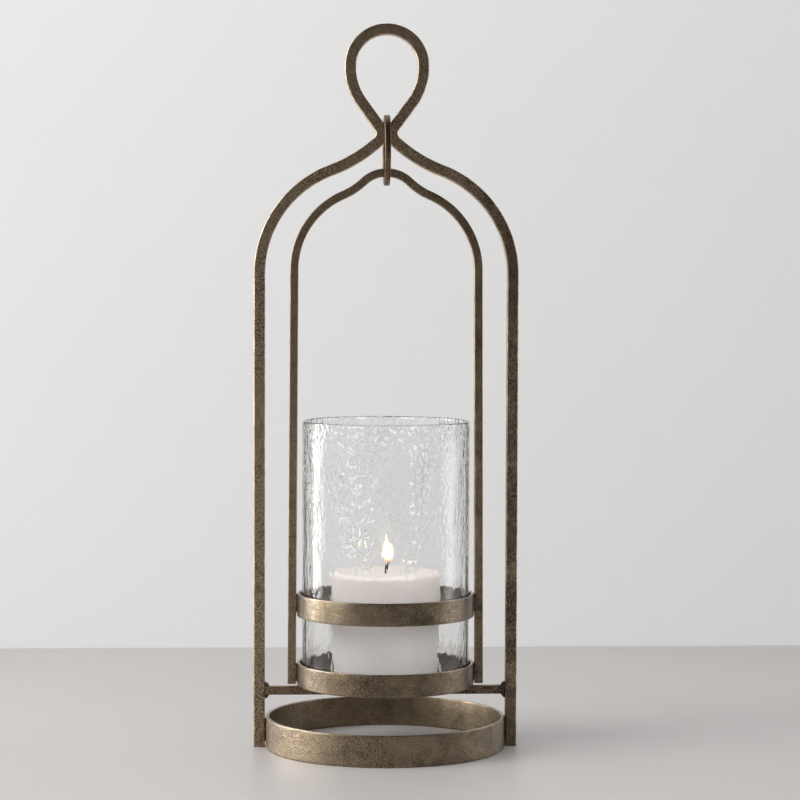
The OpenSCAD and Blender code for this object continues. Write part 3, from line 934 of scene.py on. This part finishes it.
def candle_flame():
    """A flame that is nearly white in its body, yellow to orange at its tip and faint at its
    foot, and thinner towards its outline."""
    mat = bpy.data.materials.new("candle_flame")
    mat.use_nodes = True
    tree = mat.node_tree
    nodes, links = tree.nodes, tree.links
    nodes.clear()
    place = nodes.new("ShaderNodeTexCoord")
    place.label = "Place on the holder"
    place.location = (-1100, 0)
    heat_frame = nodes.new("NodeFrame")
    heat_frame.label = "Colour and strength by height"
    split = nodes.new("ShaderNodeSeparateXYZ")
    split.label = "Height"
    height = nodes.new("ShaderNodeMapRange")
    height.label = "From foot to tip"
    height.inputs["From Min"].default_value = 0.1296
    height.inputs["From Max"].default_value = 0.1501
    colour = nodes.new("ShaderNodeValToRGB")
    colour.label = "Flame colours"
    colour.color_ramp.elements[0].position = 0.0
    colour.color_ramp.elements[0].color = (0.55, 0.30, 0.22, 1)
    colour.color_ramp.elements[1].position = 1.0
    colour.color_ramp.elements[1].color = (1.0, 0.62, 0.22, 1)
    body = colour.color_ramp.elements.new(0.3)
    body.color = (1.0, 0.88, 0.66, 1)
    crown = colour.color_ramp.elements.new(0.72)
    crown.color = (1.0, 0.84, 0.52, 1)
    power = nodes.new("ShaderNodeMapRange")
    power.label = "Faint foot, bright body"
    power.inputs["From Min"].default_value = 0.0
    power.inputs["From Max"].default_value = 0.3
    power.inputs["To Min"].default_value = 0.8
    power.inputs["To Max"].default_value = 3.2
    for node, x, y in ((split, -900, 0), (height, -700, 0), (colour, -480, 120),
                       (power, -480, -160)):
        node.location = (x, y)
        node.parent = heat_frame
    links.new(place.outputs["Object"], split.inputs["Vector"])
    links.new(split.outputs["Z"], height.inputs["Value"])
    links.new(height.outputs["Result"], colour.inputs["Fac"])
    links.new(height.outputs["Result"], power.inputs["Value"])
    veil_frame = nodes.new("NodeFrame")
    veil_frame.label = "Thin outline"
    rim = nodes.new("ShaderNodeLayerWeight")
    rim.label = "Thin towards the outline"
    rim.inputs["Blend"].default_value = 0.35
    warm = nodes.new("ShaderNodeMix")
    warm.label = "Orange towards the outline"
    warm.data_type = "RGBA"
    warm.inputs["B"].default_value = (1.0, 0.36, 0.10, 1)
    air = nodes.new("ShaderNodeBsdfTransparent")
    air.label = "Air"
    fire = nodes.new("ShaderNodeEmission")
    fire.label = "Glowing gas"
    fire.location = (-160, 60)
    mix = nodes.new("ShaderNodeMixShader")
    mix.label = "Gas thinning into air"
    mix.location = (80, 0)
    out = nodes.new("ShaderNodeOutputMaterial")
    out.label = "Surface of the flame"
    out.location = (280, 0)
    for node, x, y in ((rim, -480, -420), (warm, -300, 240), (air, -160, -200)):
        node.location = (x, y)
        node.parent = veil_frame
    links.new(colour.outputs["Color"], warm.inputs["A"])
    links.new(rim.outputs["Facing"], warm.inputs["Factor"])
    links.new(warm.outputs["Result"], fire.inputs["Color"])
    links.new(power.outputs["Result"], fire.inputs["Strength"])
    links.new(rim.outputs["Facing"], mix.inputs["Fac"])
    links.new(fire.outputs["Emission"], mix.inputs[1])
    links.new(air.outputs["BSDF"], mix.inputs[2])
    links.new(mix.outputs["Shader"], out.inputs["Surface"])
    return mat


def plain_ground(name, low, high, scale):
    """A pale matt surface with faint clouds of tone, that is seen from its front only."""
    mat = bpy.data.materials.new(name)
    mat.use_nodes = True
    tree = mat.node_tree
    nodes, links = tree.nodes, tree.links
    nodes.clear()
    place = nodes.new("ShaderNodeTexCoord")
    place.label = "Place in the studio"
    place.location = (-900, 0)

    tone_frame = nodes.new("NodeFrame")
    tone_frame.label = "Pale clouded tone"
    cloud = nodes.new("ShaderNodeTexNoise")
    cloud.label = "Faint clouds"
    cloud.inputs["Scale"].default_value = scale
    cloud.inputs["Detail"].default_value = 4.0
    tone = nodes.new("ShaderNodeMix")
    tone.label = "Pale tones"
    tone.data_type = "RGBA"
    tone.inputs["A"].default_value = (*low, 1)
    tone.inputs["B"].default_value = (*high, 1)
    for node, x, y in ((cloud, -680, 0), (tone, -440, 0)):
        node.location = (x, y)
        node.parent = tone_frame
    links.new(place.outputs["Object"], cloud.inputs["Vector"])
    links.new(cloud.outputs["Fac"], tone.inputs["Factor"])

    front_frame = nodes.new("NodeFrame")
    front_frame.label = "Seen from its front only"
    face = nodes.new("ShaderNodeNewGeometry")
    face.label = "Front or back of the sheet"
    gone = nodes.new("ShaderNodeBsdfTransparent")
    gone.label = "Nothing behind"
    mix = nodes.new("ShaderNodeMixShader")
    mix.label = "Front only"
    for node, x, y in ((face, -200, 300), (gone, -200, -420), (mix, 60, 0)):
        node.location = (x, y)
        node.parent = front_frame
    links.new(face.outputs["Backfacing"], mix.inputs["Fac"])
    links.new(gone.outputs["BSDF"], mix.inputs[2])

    matt = nodes.new("ShaderNodeBsdfPrincipled")
    matt.label = "Matt ground"
    matt.inputs["Roughness"].default_value = 0.42
    matt.location = (-200, 0)
    out = nodes.new("ShaderNodeOutputMaterial")
    out.label = "Surface of the ground"
    out.location = (260, 0)
    links.new(tone.outputs["Result"], matt.inputs["Base Color"])
    links.new(matt.outputs["BSDF"], mix.inputs[1])
    links.new(mix.outputs["Shader"], out.inputs["Surface"])
    return mat


# Each brass below is painted lighter towards -X by its side-light argument: painted light from the
# left.
bar_brass = antique_brass(
    "dark_bar_brass", deep=(0.072, 0.046, 0.026), mid=(0.285, 0.202, 0.124),
    bright=(0.74, 0.60, 0.43), rust=(0.23, 0.113, 0.060),
    roughness=0.40, dark_share=1.0, brushed_share=0.40,
    painted_left_light=0.58, pit_share=0.9, lacquer=0.2)
hanger_brass = antique_brass(
    "hanger_bar_brass", deep=(0.115, 0.075, 0.045), mid=(0.215, 0.150, 0.094),
    bright=(0.52, 0.41, 0.28), rust=(0.19, 0.100, 0.056),
    roughness=0.40, dark_share=0.55, brushed_share=0.6,
    painted_left_light=0.24, pit_share=0.4, lacquer=0.25)
ring_brass = antique_brass(
    "hanging_link_brass", deep=(0.070, 0.044, 0.026), mid=(0.130, 0.088, 0.054),
    bright=(0.30, 0.22, 0.15), rust=(0.11, 0.060, 0.034),
    roughness=0.46, dark_share=0.6, brushed_share=0.4,
    painted_left_light=0.1, pit_share=0.5, lacquer=0.1)
# Painted shade: the cross bar gets its own darker copy of the brass, near black in its deep tone,
# because it lies in the shadow of the cup. It is also painted lighter on its left, as painted light.
cup_shaded_cross_brass = antique_brass(
    "cup_shaded_cross_bar_brass", deep=(0.024, 0.017, 0.012), mid=(0.25, 0.182, 0.118),
    bright=(0.52, 0.41, 0.28), rust=(0.09, 0.054, 0.034),
    roughness=0.46, dark_share=1.1, brushed_share=0.06,
    painted_left_light=0.62, pit_share=0.6, lacquer=0.05)
strip_brass = antique_brass(
    "brushed_strip_brass", deep=(0.070, 0.044, 0.023), mid=(0.178, 0.122, 0.069),
    bright=(0.40, 0.335, 0.24), rust=(0.13, 0.070, 0.035),
    roughness=0.29, dark_share=0.4, brushed_share=0.48,
    painted_left_light=0.16, pit_share=0.75, lacquer=0.55)
base_brass = antique_brass(
    "brushed_base_brass", deep=(0.070, 0.044, 0.023), mid=(0.190, 0.130, 0.073),
    bright=(0.42, 0.35, 0.25), rust=(0.13, 0.070, 0.035),
    roughness=0.37, dark_share=0.4, brushed_share=0.48,
    painted_left_light=0.16, pit_share=0.75, lacquer=0.6)
bead_brass = antique_brass(
    "dark_weld_brass", deep=(0.060, 0.042, 0.028), mid=(0.12, 0.086, 0.056),
    bright=(0.34, 0.27, 0.19), rust=(0.11, 0.064, 0.040),
    roughness=0.46, dark_share=0.6, brushed_share=0.1,
    painted_left_light=0.0, pit_share=0.5, lacquer=0.2)
glass = drip_glass()
wax = candle_wax()
wick = burnt_wick()
flame = candle_flame()

# ---------------------------------------------------------------------------------------------
# Outer frame: one bar bent into posts, shoulders, neck and loop
# ---------------------------------------------------------------------------------------------
square, corner = soft_rectangle(FRAME_BAR, FRAME_BAR, BAR_CORNER, across=7, down=7)
half = [(333.277, 77.5, 69), (1, 102, -19), (3.422, 8, -86), (21.252, 41, 36), (1, 25.6, 90)]
line, turns = arched_line((-POST_X, 0, 0), 0, half)
bar = along_line(line, turns, square, corner, dent=0.14, seed=3)
make_piece("arched_frame_bar", [bar], "stand", ["outer_frame"], bar_brass)

# ---------------------------------------------------------------------------------------------
# Hanger: one thinner bar bent into two legs, an arch and the hump that sits in the ring
# ---------------------------------------------------------------------------------------------
square, corner = soft_rectangle(HANGER_BAR, HANGER_BAR, THIN_CORNER, across=6, down=6)
half = [(291.839, 57.0578, 65.7), (1, 48.5, -18), (2, 23.3, 42)]
line, turns = arched_line((-LEG_X, 0, LEG_FOOT_Z), 0.3, half)
bar = along_line(line, turns, square, corner, dent=0.12, seed=11)
make_piece("hanger_bar", [bar], "hanger", ["hanger_frame"], hanger_brass)

# ---------------------------------------------------------------------------------------------
# Cross bar between the posts
# ---------------------------------------------------------------------------------------------
square, corner = soft_rectangle(CROSS_BAR, CROSS_BAR, THIN_CORNER, across=6, down=6)
line, turns = bent_line((-POST_X + CROSS_INSET, 0, CROSS_Z), 90,
                        [(2 * POST_X - 2 * CROSS_INSET, 0, 0)], BAR_STEP)
bar = along_line(line, turns, square, corner, dent=0.12, seed=21)
make_piece("cross_bar_rod", [bar], "stand", ["cross_bar"], cup_shaded_cross_brass)

# ---------------------------------------------------------------------------------------------
# Ring that hangs in the neck, turned to lie in the YZ plane
# ---------------------------------------------------------------------------------------------
flat, corner = soft_rectangle(LINK_WIDTH, LINK_DEPTH, corner=0.8, across=6, down=5)
link = around_axis(LINK_HOLE_R + LINK_WIDTH / 2, flat, corner, count=200, dent=0.12, seed=31)
link["rows"] = link["rows"][..., [2, 1, 0]] + np.array([0, 0, LINK_Z])
make_piece("hanging_link", [link], "ring", ["hanging_ring"], ring_brass)

# ---------------------------------------------------------------------------------------------
# Hoops rolled from flat strip
# ---------------------------------------------------------------------------------------------
strip, corner = soft_rectangle(BASE_STRIP, BASE_H, corner=0.6, across=3, down=20)
hoop = around_axis(BASE_R - BASE_STRIP / 2, strip, corner, count=420, dent=0.10, seed=41,
                   wobble=0.2)
make_piece("base_hoop", [lifted(hoop, BASE_H / 2)], "stand", ["base_ring"],
           base_brass)

strip, corner = soft_rectangle(BAND_STRIP, BAND_H, corner=0.55, across=3, down=16)
for name, foot, seed, node in (("upper_hoop", BAND_Z, 51, "upper_band"),
                               ("cup_hoop", CUP_Z, 61, "cup_band")):
    hoop = around_axis(BAND_R - BAND_STRIP / 2, strip, corner, count=360, dent=0.10, seed=seed,
                       wobble=0.15)
    make_piece(name, [lifted(hoop, foot + BAND_H / 2)], "hanger", [node],
               strip_brass)

# Sheet under the glass: a disc with a soft rim
flat_r = PLATE_R - PLATE_RIM
t = np.linspace(0, math.pi / 2, 6)
disc = np.concatenate([
    [[0, PLATE_LOW_Z]], np.stack([np.linspace(8, flat_r, 12), np.full(12, PLATE_LOW_Z)], 1),
    np.stack([flat_r + PLATE_RIM * np.sin(t), PLATE_LOW_Z + PLATE_RIM - PLATE_RIM * np.cos(t)], 1)[1:],
    np.stack([flat_r + PLATE_RIM * np.cos(t), PLATE_TOP_Z - PLATE_RIM + PLATE_RIM * np.sin(t)], 1),
    np.stack([np.linspace(flat_r, 8, 12)[1:], np.full(11, PLATE_TOP_Z)], 1),
    [[0, PLATE_TOP_Z]]])
make_piece("cup_plate", [turned(disc, count=160)], "hanger", ["cup_floor"], strip_brass)

# ---------------------------------------------------------------------------------------------
# Weld beads
# ---------------------------------------------------------------------------------------------
beads = []
places = [(low, high, face) for low, high in ((0.5, 6.0), (-6.2, -0.5)) for face in (-1, 1)]
for k, (low, high, face) in enumerate(places):
    y = face * NECK_BEAD_Y
    beads.append(bead((0, y, NECK_Z + low), (0, y, NECK_Z + high), (0, face, 0),
                      radius=2.0, ripples=3, seed=71 + k))
make_piece("neck_beads", beads, "stand", ["neck_weld"], bead_brass)

beads = []
for k, side in enumerate((-1, 1)):
    x, reach = side * CROSS_BEAD_X, CROSS_BEAD_HALF
    beads += [bead((x, -reach, 43.6), (x, reach, 43.6), (-side, 0, 1),
                   radius=1.9, ripples=2, seed=80 + k),
              bead((x, -reach, 36.0), (x, reach, 36.0), (-side, 0, -1),
                   radius=1.7, ripples=2, seed=84 + k)]
make_piece("cross_bar_beads", beads, "stand", ["cross_bar_welds"], bead_brass)

beads = [bead((side * BASE_BEAD_X, BASE_BEAD_Y, 2.5), (side * BASE_BEAD_X, BASE_BEAD_Y, 19.5),
              (0, 1, 0), radius=1.9, ripples=6, seed=90 + side)
         for side in (-1, 1)]
make_piece("base_hoop_beads", beads, "stand", ["base_ring_welds"], bead_brass)

for name, foot, node in (("upper_hoop_beads", BAND_Z, "upper_band_welds"),
                         ("cup_hoop_beads", CUP_Z, "cup_band_welds")):
    beads = []
    for k, (side, face) in enumerate([(-1, -1), (-1, 1), (1, -1), (1, 1)]):
        x, y = side * BAND_BEAD_X, face * BAND_BEAD_Y
        beads.append(bead((x, y, foot + 2.8), (x, y, foot + BAND_H - 1.2), (0, face, 0),
                          radius=1.5, ripples=4, seed=100 + k + int(foot)))
    make_piece(name, beads, "hanger", [node], bead_brass)

tacks = frame["nodes"]["cup_floor_welds"]
tacks.data.materials.clear()
tacks.data.materials.append(bead_brass)


# ---------------------------------------------------------------------------------------------
# Glass sleeve
# ---------------------------------------------------------------------------------------------
def runs_of_water(a, z, seed):
    """Depth from 0 to 1 of the drips on a wall, by angle and height: ridges that run down the
    wall, wander to the side with the height, and break up into shorter ones."""
    drift = 0.05 * np.sin(z / 17 + seed) + 0.035 * np.sin(z / 7.3 + 3 * a + 2 * seed)
    b = a + drift
    tall = np.sin(31 * b + 1.3 * np.sin(z / 23 + 4 * a) + seed)
    short = np.sin(57 * b + 2.1 * np.sin(z / 9.5 + 7 * a + seed) - z / 14)
    fine = np.sin(83 * b - 2.4 * np.sin(z / 6.1 + 9 * a) + z / 8.7)
    return np.clip(0.5 + 0.24 * tall + 0.17 * short + 0.11 * fine, 0, 1)


def degrees_from_front(a):
    """Angle from the front of the holder, from -180 to 180 degrees, of an angle round Z."""
    return np.degrees((a + math.pi / 2 + math.pi) % (2 * math.pi) - math.pi)


def calm_by_flame(front, z, depth, width, height):
    """1 all over the wall but in front of the flame, where it falls by depth. The dip has a flat
    middle, and the given half width in degrees and half height in mm."""
    return 1 - depth * np.exp(-((front - CALM_ANGLE) / width) ** 4 - ((z - CALM_Z) / height) ** 4)


def crinkled_columns(a, z):
    """Share of crinkled glass from 0 to 1, by angle and height: soft columns that wander down the
    wall, swell and thin with the height, and fade towards the foot and in front of the flame. Each
    column has its angle from the front, its width and its strength."""
    front = degrees_from_front(a)
    columns = [(-14, 11, 1.25), (19, 6, 1.1), (-36, 6, 0.3), (43, 6, 0.2), (76, 7, 0.25),
               (-72, 7, 0.25), (108, 8, 0.4), (-112, 8, 0.45), (140, 9, 0.45), (-146, 9, 0.5),
               (172, 8, 0.5)]
    total = 0 * (a + z)
    for k, (centre, width, strength) in enumerate(columns):
        path = centre + 5 * np.sin(z / 26 + 2.1 * k) + 2 * np.sin(z / 9 + 1.3 * k)
        swing = (front - path + 180) % 360 - 180
        body = 0.62 + 0.38 * np.sin(z / 12 + 1.7 * k)
        total = total + strength * body * np.exp(-(swing / width) ** 2)
    brim = 0.22 * np.clip((z - GLASS_H + 22) / 20, 0, 1)
    window = calm_by_flame(front, z, 0.98, 10, 20)
    return np.clip(total + brim + 0.08, 0, 1) * np.clip((z - 74) / 30, 0.06, 1) * window


count_a, count_z = 310, 150
a = np.linspace(0, 2 * math.pi, count_a, endpoint=False)[:, None]
z = np.linspace(GLASS_RIM, GLASS_H - GLASS_RIM, count_z)[None, :]
t = np.linspace(0, math.pi, 7)[None, 1:-1]
edge_fade = np.clip(np.minimum(z - GLASS_RIM, GLASS_H - GLASS_RIM - z) / 5, 0, 1)
still = calm_by_flame(degrees_from_front(a), z, 0.97, 11, 22)
calm = edge_fade * still * (0.34 + 0.66 * crinkled_columns(a, z))
outer_r = GLASS_R - 0.40 * calm * runs_of_water(a, z, 0.7)
inner_r = GLASS_R - GLASS_WALL + 0.32 * calm * runs_of_water(a, z, 2.9)
top_r = GLASS_R - GLASS_RIM + GLASS_RIM * np.cos(t) + 0 * a
top_z = GLASS_H - GLASS_RIM + GLASS_RIM * np.sin(t) + 0 * a
low_r = GLASS_R - GLASS_RIM - GLASS_RIM * np.cos(t) + 0 * a
low_z = GLASS_RIM - GLASS_RIM * np.sin(t) + 0 * a
z = np.broadcast_to(z, (count_a, count_z))
radius = np.concatenate([outer_r, top_r, inner_r[:, ::-1], low_r], 1)
height = np.concatenate([z, top_z, z[:, ::-1], low_z], 1)
# Outer wall, rim, inner wall and foot: how much of the crinkle each shows
wall_share = np.repeat([1.0, 0.6, 0.15, 0.6], [count_z, 5, count_z, 5])[None, :]
crinkled = crinkled_columns(a, height) * np.clip(np.minimum(height, GLASS_H - height) / 3, 0, 1)
crinkled = crinkled * wall_share
sleeve = np.stack([radius * np.cos(a), radius * np.sin(a), STAND_Z + height], 2)
sleeve_piece = make_piece("glass_cylinder", [dict(rows=sleeve, near=crinkled, loop=True)],
                          "glass", ["glass_sleeve"], glass)

# ---------------------------------------------------------------------------------------------
# Candle, wick and flame
# ---------------------------------------------------------------------------------------------
top = STAND_Z + CANDLE_H
t = np.linspace(0, math.pi / 2, 10)
r_pool = np.linspace(POOL_R, 1.2, 34)
pool = top - POOL_DEPTH * (1 - (r_pool / POOL_R) ** 2) ** 0.8
body_z = np.linspace(STAND_Z + 1.0, top - CANDLE_EDGE, 60)
profile = np.concatenate([
    [[0, STAND_Z]], np.stack([np.linspace(6, CANDLE_R - 1, 8), np.full(8, STAND_Z)], 1),
    np.stack([np.full(60, CANDLE_R), body_z], 1),
    np.stack([CANDLE_R - CANDLE_EDGE + CANDLE_EDGE * np.cos(t),
              top - CANDLE_EDGE + CANDLE_EDGE * np.sin(t)], 1)[1:],
    np.stack([r_pool, pool], 1)[1:], [[0, pool[-1]]]])
pillar = turned(profile, count=200)
grid = pillar["rows"]
out = np.linalg.norm(grid[..., :2], axis=2, keepdims=True)
softness = 0.35 * (0.5 + 0.5 * swell(grid, 26, 5))[..., None]
high = np.clip((grid[..., 2:] - (top - 9)) / 9, 0, 1)
pillar["rows"] = grid - np.concatenate([
    grid[..., :2] / np.maximum(out, 1) * softness * np.clip(out / 20, 0, 1),
    high * 0.55 * (0.5 + 0.5 * swell(grid, 17, 6))[..., None]], 2)
make_piece("pillar_candle", [pillar], "candle", ["candle_wax"], wax)

line, turns = bent_line((0, 0, STAND_Z + WICK_FOOT), 0,
                        [(WICK_BEND_Z - STAND_Z - WICK_FOOT, 8, 30), (3.2, 0, 0)], WICK_STEP)
a = np.linspace(0, 2 * math.pi, 24, endpoint=False)
twist = np.linspace(0, 1, len(line))[:, None] * len(line) * WICK_STEP / WICK_PLAIT * 2 * math.pi
girth = WICK_R * (1 - 0.10 * (1 + np.cos(3 * (a[None] + twist))) / 2)
girth = girth * np.clip((len(line) - np.arange(len(line))[:, None]) / 5, 0.35, 1)
normal = np.stack([np.cos(turns), 0 * turns, -np.sin(turns)], 1)
plait = (line[:, None] + normal[:, None] * (girth * np.cos(a))[..., None]
         + np.array([0, 1.0, 0]) * (girth * np.sin(a))[..., None])
make_piece("candle_braid", [dict(rows=plait, near=np.zeros(plait.shape[:2]), loop=False)],
           "candle", ["candle_wick"], wick)

t = np.linspace(0, 1, 48)
girth = FLAME_R * np.sin(math.pi * t ** 0.66) ** 0.95 * (1 - 0.35 * t)
tongue = turned(np.stack([np.where((t == 0) | (t == 1), 0, girth), FLAME_Z + FLAME_H * t], 1), 48)
for grid in (tongue["rows"], tongue["poles"]):
    grid[..., 0] += 1.9 - 1.1 * np.sin((grid[..., 2] - FLAME_Z) / FLAME_H * math.pi / 2)
make_piece("flame", [tongue], "candle", [], flame)


# ---------------------------------------------------------------------------------------------
# Studio: floor, wall, lights and camera
# ---------------------------------------------------------------------------------------------
def studio_plane(name, corners, material):
    """A flat sheet between four corners, in metres."""
    mesh = bpy.data.meshes.new(name)
    mesh.from_pydata(corners, [], [(0, 1, 2, 3)])
    sheet = bpy.data.objects.new(name, mesh)
    bpy.context.scene.collection.objects.link(sheet)
    mesh.materials.append(material)
    return sheet


stone = plain_ground("pale_floor", (0.46, 0.442, 0.432), (0.53, 0.511, 0.501), 3.0)
plaster = plain_ground("pale_wall", (0.86, 0.86, 0.86), (0.90, 0.90, 0.90), 1.5)
near_left, near_right = (-STAGE_REACH, -STAGE_REACH, 0), (STAGE_REACH, -STAGE_REACH, 0)
far_left, far_right = (-STAGE_REACH, WALL_Y, 0), (STAGE_REACH, WALL_Y, 0)
high_left, high_right = (-STAGE_REACH, WALL_Y, STAGE_REACH), (STAGE_REACH, WALL_Y, STAGE_REACH)
floor_piece = studio_plane("floor", [near_left, near_right, far_right, far_left], stone)
wall_piece = studio_plane("wall", [far_left, far_right, high_right, high_left], plaster)


def soft_light(name, place, aim, size, power, tint, mirrored, lighting, on=None):
    """A rectangular soft box at place that faces aim. mirrored says if polished surfaces show it,
    lighting if matt surfaces are lit by it, and on names the collection it works on, if not all."""
    lamp = bpy.data.lights.new(name, "AREA")
    lamp.shape = "RECTANGLE"
    lamp.size, lamp.size_y = size
    lamp.energy = power
    lamp.color = tint
    box = bpy.data.objects.new(name, lamp)
    box.location = place
    box.visible_camera = False
    box.visible_glossy = mirrored
    box.visible_diffuse = lighting
    box.visible_transmission = False
    box.rotation_euler = (Vector(aim) - Vector(place)).to_track_quat("-Z", "Y").to_euler()
    bpy.context.scene.collection.objects.link(box)
    if on:
        box.light_linking.receiver_collection = on


holder = bpy.data.collections.new("holder_pieces")
for piece in bpy.data.objects:
    if piece.type == "MESH" and piece not in (floor_piece, wall_piece):
        holder.objects.link(piece)
sleeve_only = bpy.data.collections.new("glass_sleeve_only")
sleeve_only.objects.link(sleeve_piece)
polished = bpy.data.collections.new("metal_and_glass")
strips = bpy.data.collections.new("brushed_strips")
base_only = bpy.data.collections.new("base_hoop_only")
base_only.objects.link(bpy.data.objects["base_hoop"])
for piece in holder.objects:
    if piece.name not in ("pillar_candle", "candle_braid", "flame"):
        polished.objects.link(piece)
    if piece.name in ("base_hoop", "upper_hoop", "cup_hoop", "cup_plate"):
        strips.objects.link(piece)

warm, cool, white, gold = (1.0, 0.99, 0.98), (0.98, 0.99, 1.0), (1.0, 1.0, 1.0), (1.0, 0.98, 0.95)
# Lamps that light matt surfaces: name, place, aim, size, power, tint, and what they work on
for name, place, aim, size, power, tint, on in (
        ("daylight_left", (-2.6, -0.7, 1.8), (0, 0.1, 0.2), (2.0, 2.0), 78, warm, None),
        ("overhead", (-0.1, -0.5, 1.9), (0.0, 0.1, 0.05), (1.8, 1.4), 7, white, None),
        ("fill_right", (2.2, -1.2, 1.2), (0, 0, 0.1), (1.4, 1.4), 24, cool, holder)):
    soft_light(name, place, aim, size, power, tint, False, True, on)
# Lamps that only show in polished surfaces, in the same order
for name, place, aim, size, power, tint, on in (
        ("window_left", (-0.72, 0.28, 0.40), (0, 0, 0.25), (0.44, 1.1), 5.2, warm, polished),
        ("window_left_core", (-0.74, 0.29, 0.40), (0, 0, 0.25), (0.2, 1.0), 2.8, warm, polished),
        ("side_left", (-0.95, 0.16, 0.25), (0, 0, 0.1), (1.2, 0.9), 9, gold, strips),
        ("side_left_low", (-0.95, 0.10, 0.12), (0, 0, 0.02), (1.2, 0.22), 3.6, gold, base_only),
        ("window_right", (0.80, 0.05, 0.40), (0, 0, 0.25), (0.42, 1.0), 2.0, cool, polished),
        ("window_right_core", (0.82, 0.05, 0.40), (0, 0, 0.25), (0.18, 0.9), 1.0, cool, polished),
        ("front_left", (-1.3, -0.75, 0.8), (0, 0, 0.25), (0.36, 1.0), 9, warm, polished),
        ("glints", (-0.9, -1.3, 0.7), (0, 0, 0.2), (0.5, 1.1), 13, white, sleeve_only),
        ("glints", (0.9, -1.3, 0.7), (0, 0, 0.2), (0.5, 1.1), 13, white, sleeve_only)):
    soft_light(name, place, aim, size, power, tint, True, False, on)

world = bpy.data.worlds.new("studio_air")
world.use_nodes = True
air = world.node_tree.nodes
air.clear()
dim = air.new("ShaderNodeBackground")
dim.label = "Dim room that the metal mirrors"
dim.inputs["Color"].default_value = (0.95, 0.97, 1.0, 1)
dim.inputs["Strength"].default_value = 0.04
dim.location = (-200, 200)
soft = air.new("ShaderNodeBackground")
soft.label = "Soft light from all round"
soft.inputs["Color"].default_value = (0.98, 0.99, 1.0, 1)
soft.inputs["Strength"].default_value = 0.55
soft.location = (-200, 60)
pale = air.new("ShaderNodeBackground")
pale.label = "Pale backdrop"
pale.inputs["Color"].default_value = (1.0, 1.0, 1.0, 1)
pale.inputs["Strength"].default_value = 0.68
pale.location = (-200, -80)
ray = air.new("ShaderNodeLightPath")
ray.label = "What the light is for"
ray.location = (-600, 400)
gathered = air.new("ShaderNodeMath")
gathered.label = "After a matt surface"
gathered.operation = "MINIMUM"
gathered.inputs[1].default_value = 1.0
gathered.location = (-400, 160)
first = air.new("ShaderNodeMath")
first.label = "Before any matt surface"
first.operation = "SUBTRACT"
first.inputs[0].default_value = 1.0
first.location = (-400, 0)
through = air.new("ShaderNodeMath")
through.label = "Seen through the glass"
through.operation = "MULTIPLY"
through.location = (-400, 480)
seen = air.new("ShaderNodeMath")
seen.label = "Seen directly or through the glass"
seen.operation = "MAXIMUM"
seen.location = (-400, 320)
matt_or_mirror = air.new("ShaderNodeMixShader")
matt_or_mirror.label = "Soft light on matt surfaces"
matt_or_mirror.location = (0, 160)
choose = air.new("ShaderNodeMixShader")
choose.label = "Backdrop where it is seen"
choose.location = (200, 100)
sky = air.new("ShaderNodeOutputWorld")
sky.location = (400, 100)
join = world.node_tree.links
join.new(ray.outputs["Diffuse Depth"], gathered.inputs[0])
join.new(gathered.outputs["Value"], first.inputs[1])
join.new(ray.outputs["Is Transmission Ray"], through.inputs[0])
join.new(first.outputs["Value"], through.inputs[1])
join.new(ray.outputs["Is Camera Ray"], seen.inputs[0])
join.new(through.outputs["Value"], seen.inputs[1])
join.new(gathered.outputs["Value"], matt_or_mirror.inputs["Fac"])
join.new(dim.outputs["Background"], matt_or_mirror.inputs[1])
join.new(soft.outputs["Background"], matt_or_mirror.inputs[2])
join.new(seen.outputs["Value"], choose.inputs["Fac"])
join.new(matt_or_mirror.outputs["Shader"], choose.inputs[1])
join.new(pale.outputs["Background"], choose.inputs[2])
join.new(choose.outputs["Shader"], sky.inputs["Surface"])
bpy.context.scene.world = world
bpy.context.scene.view_settings.view_transform = "Standard"

lens = bpy.data.cameras.new("camera")
lens.sensor_width = 36.0
lens.lens = 115.305
lens.clip_start, lens.clip_end = 0.1, 20
camera = bpy.data.objects.new("camera", lens)
turn, dip, roll = math.radians(2.713), math.radians(2.796), math.radians(0.187)
ahead = Vector((math.sin(turn) * math.cos(dip), math.cos(turn) * math.cos(dip), -math.sin(dip)))
level = Vector((math.cos(turn), -math.sin(turn), 0))
above = level.cross(ahead)
across = level * math.cos(roll) + above * math.sin(roll)
above = above * math.cos(roll) - level * math.sin(roll)
pose = Matrix((across, above, -ahead)).transposed().to_4x4()
pose.translation = (-0.07538, -1.79842, 0.3328)
camera.matrix_world = pose
bpy.context.scene.collection.objects.link(camera)
bpy.context.scene.camera = camera
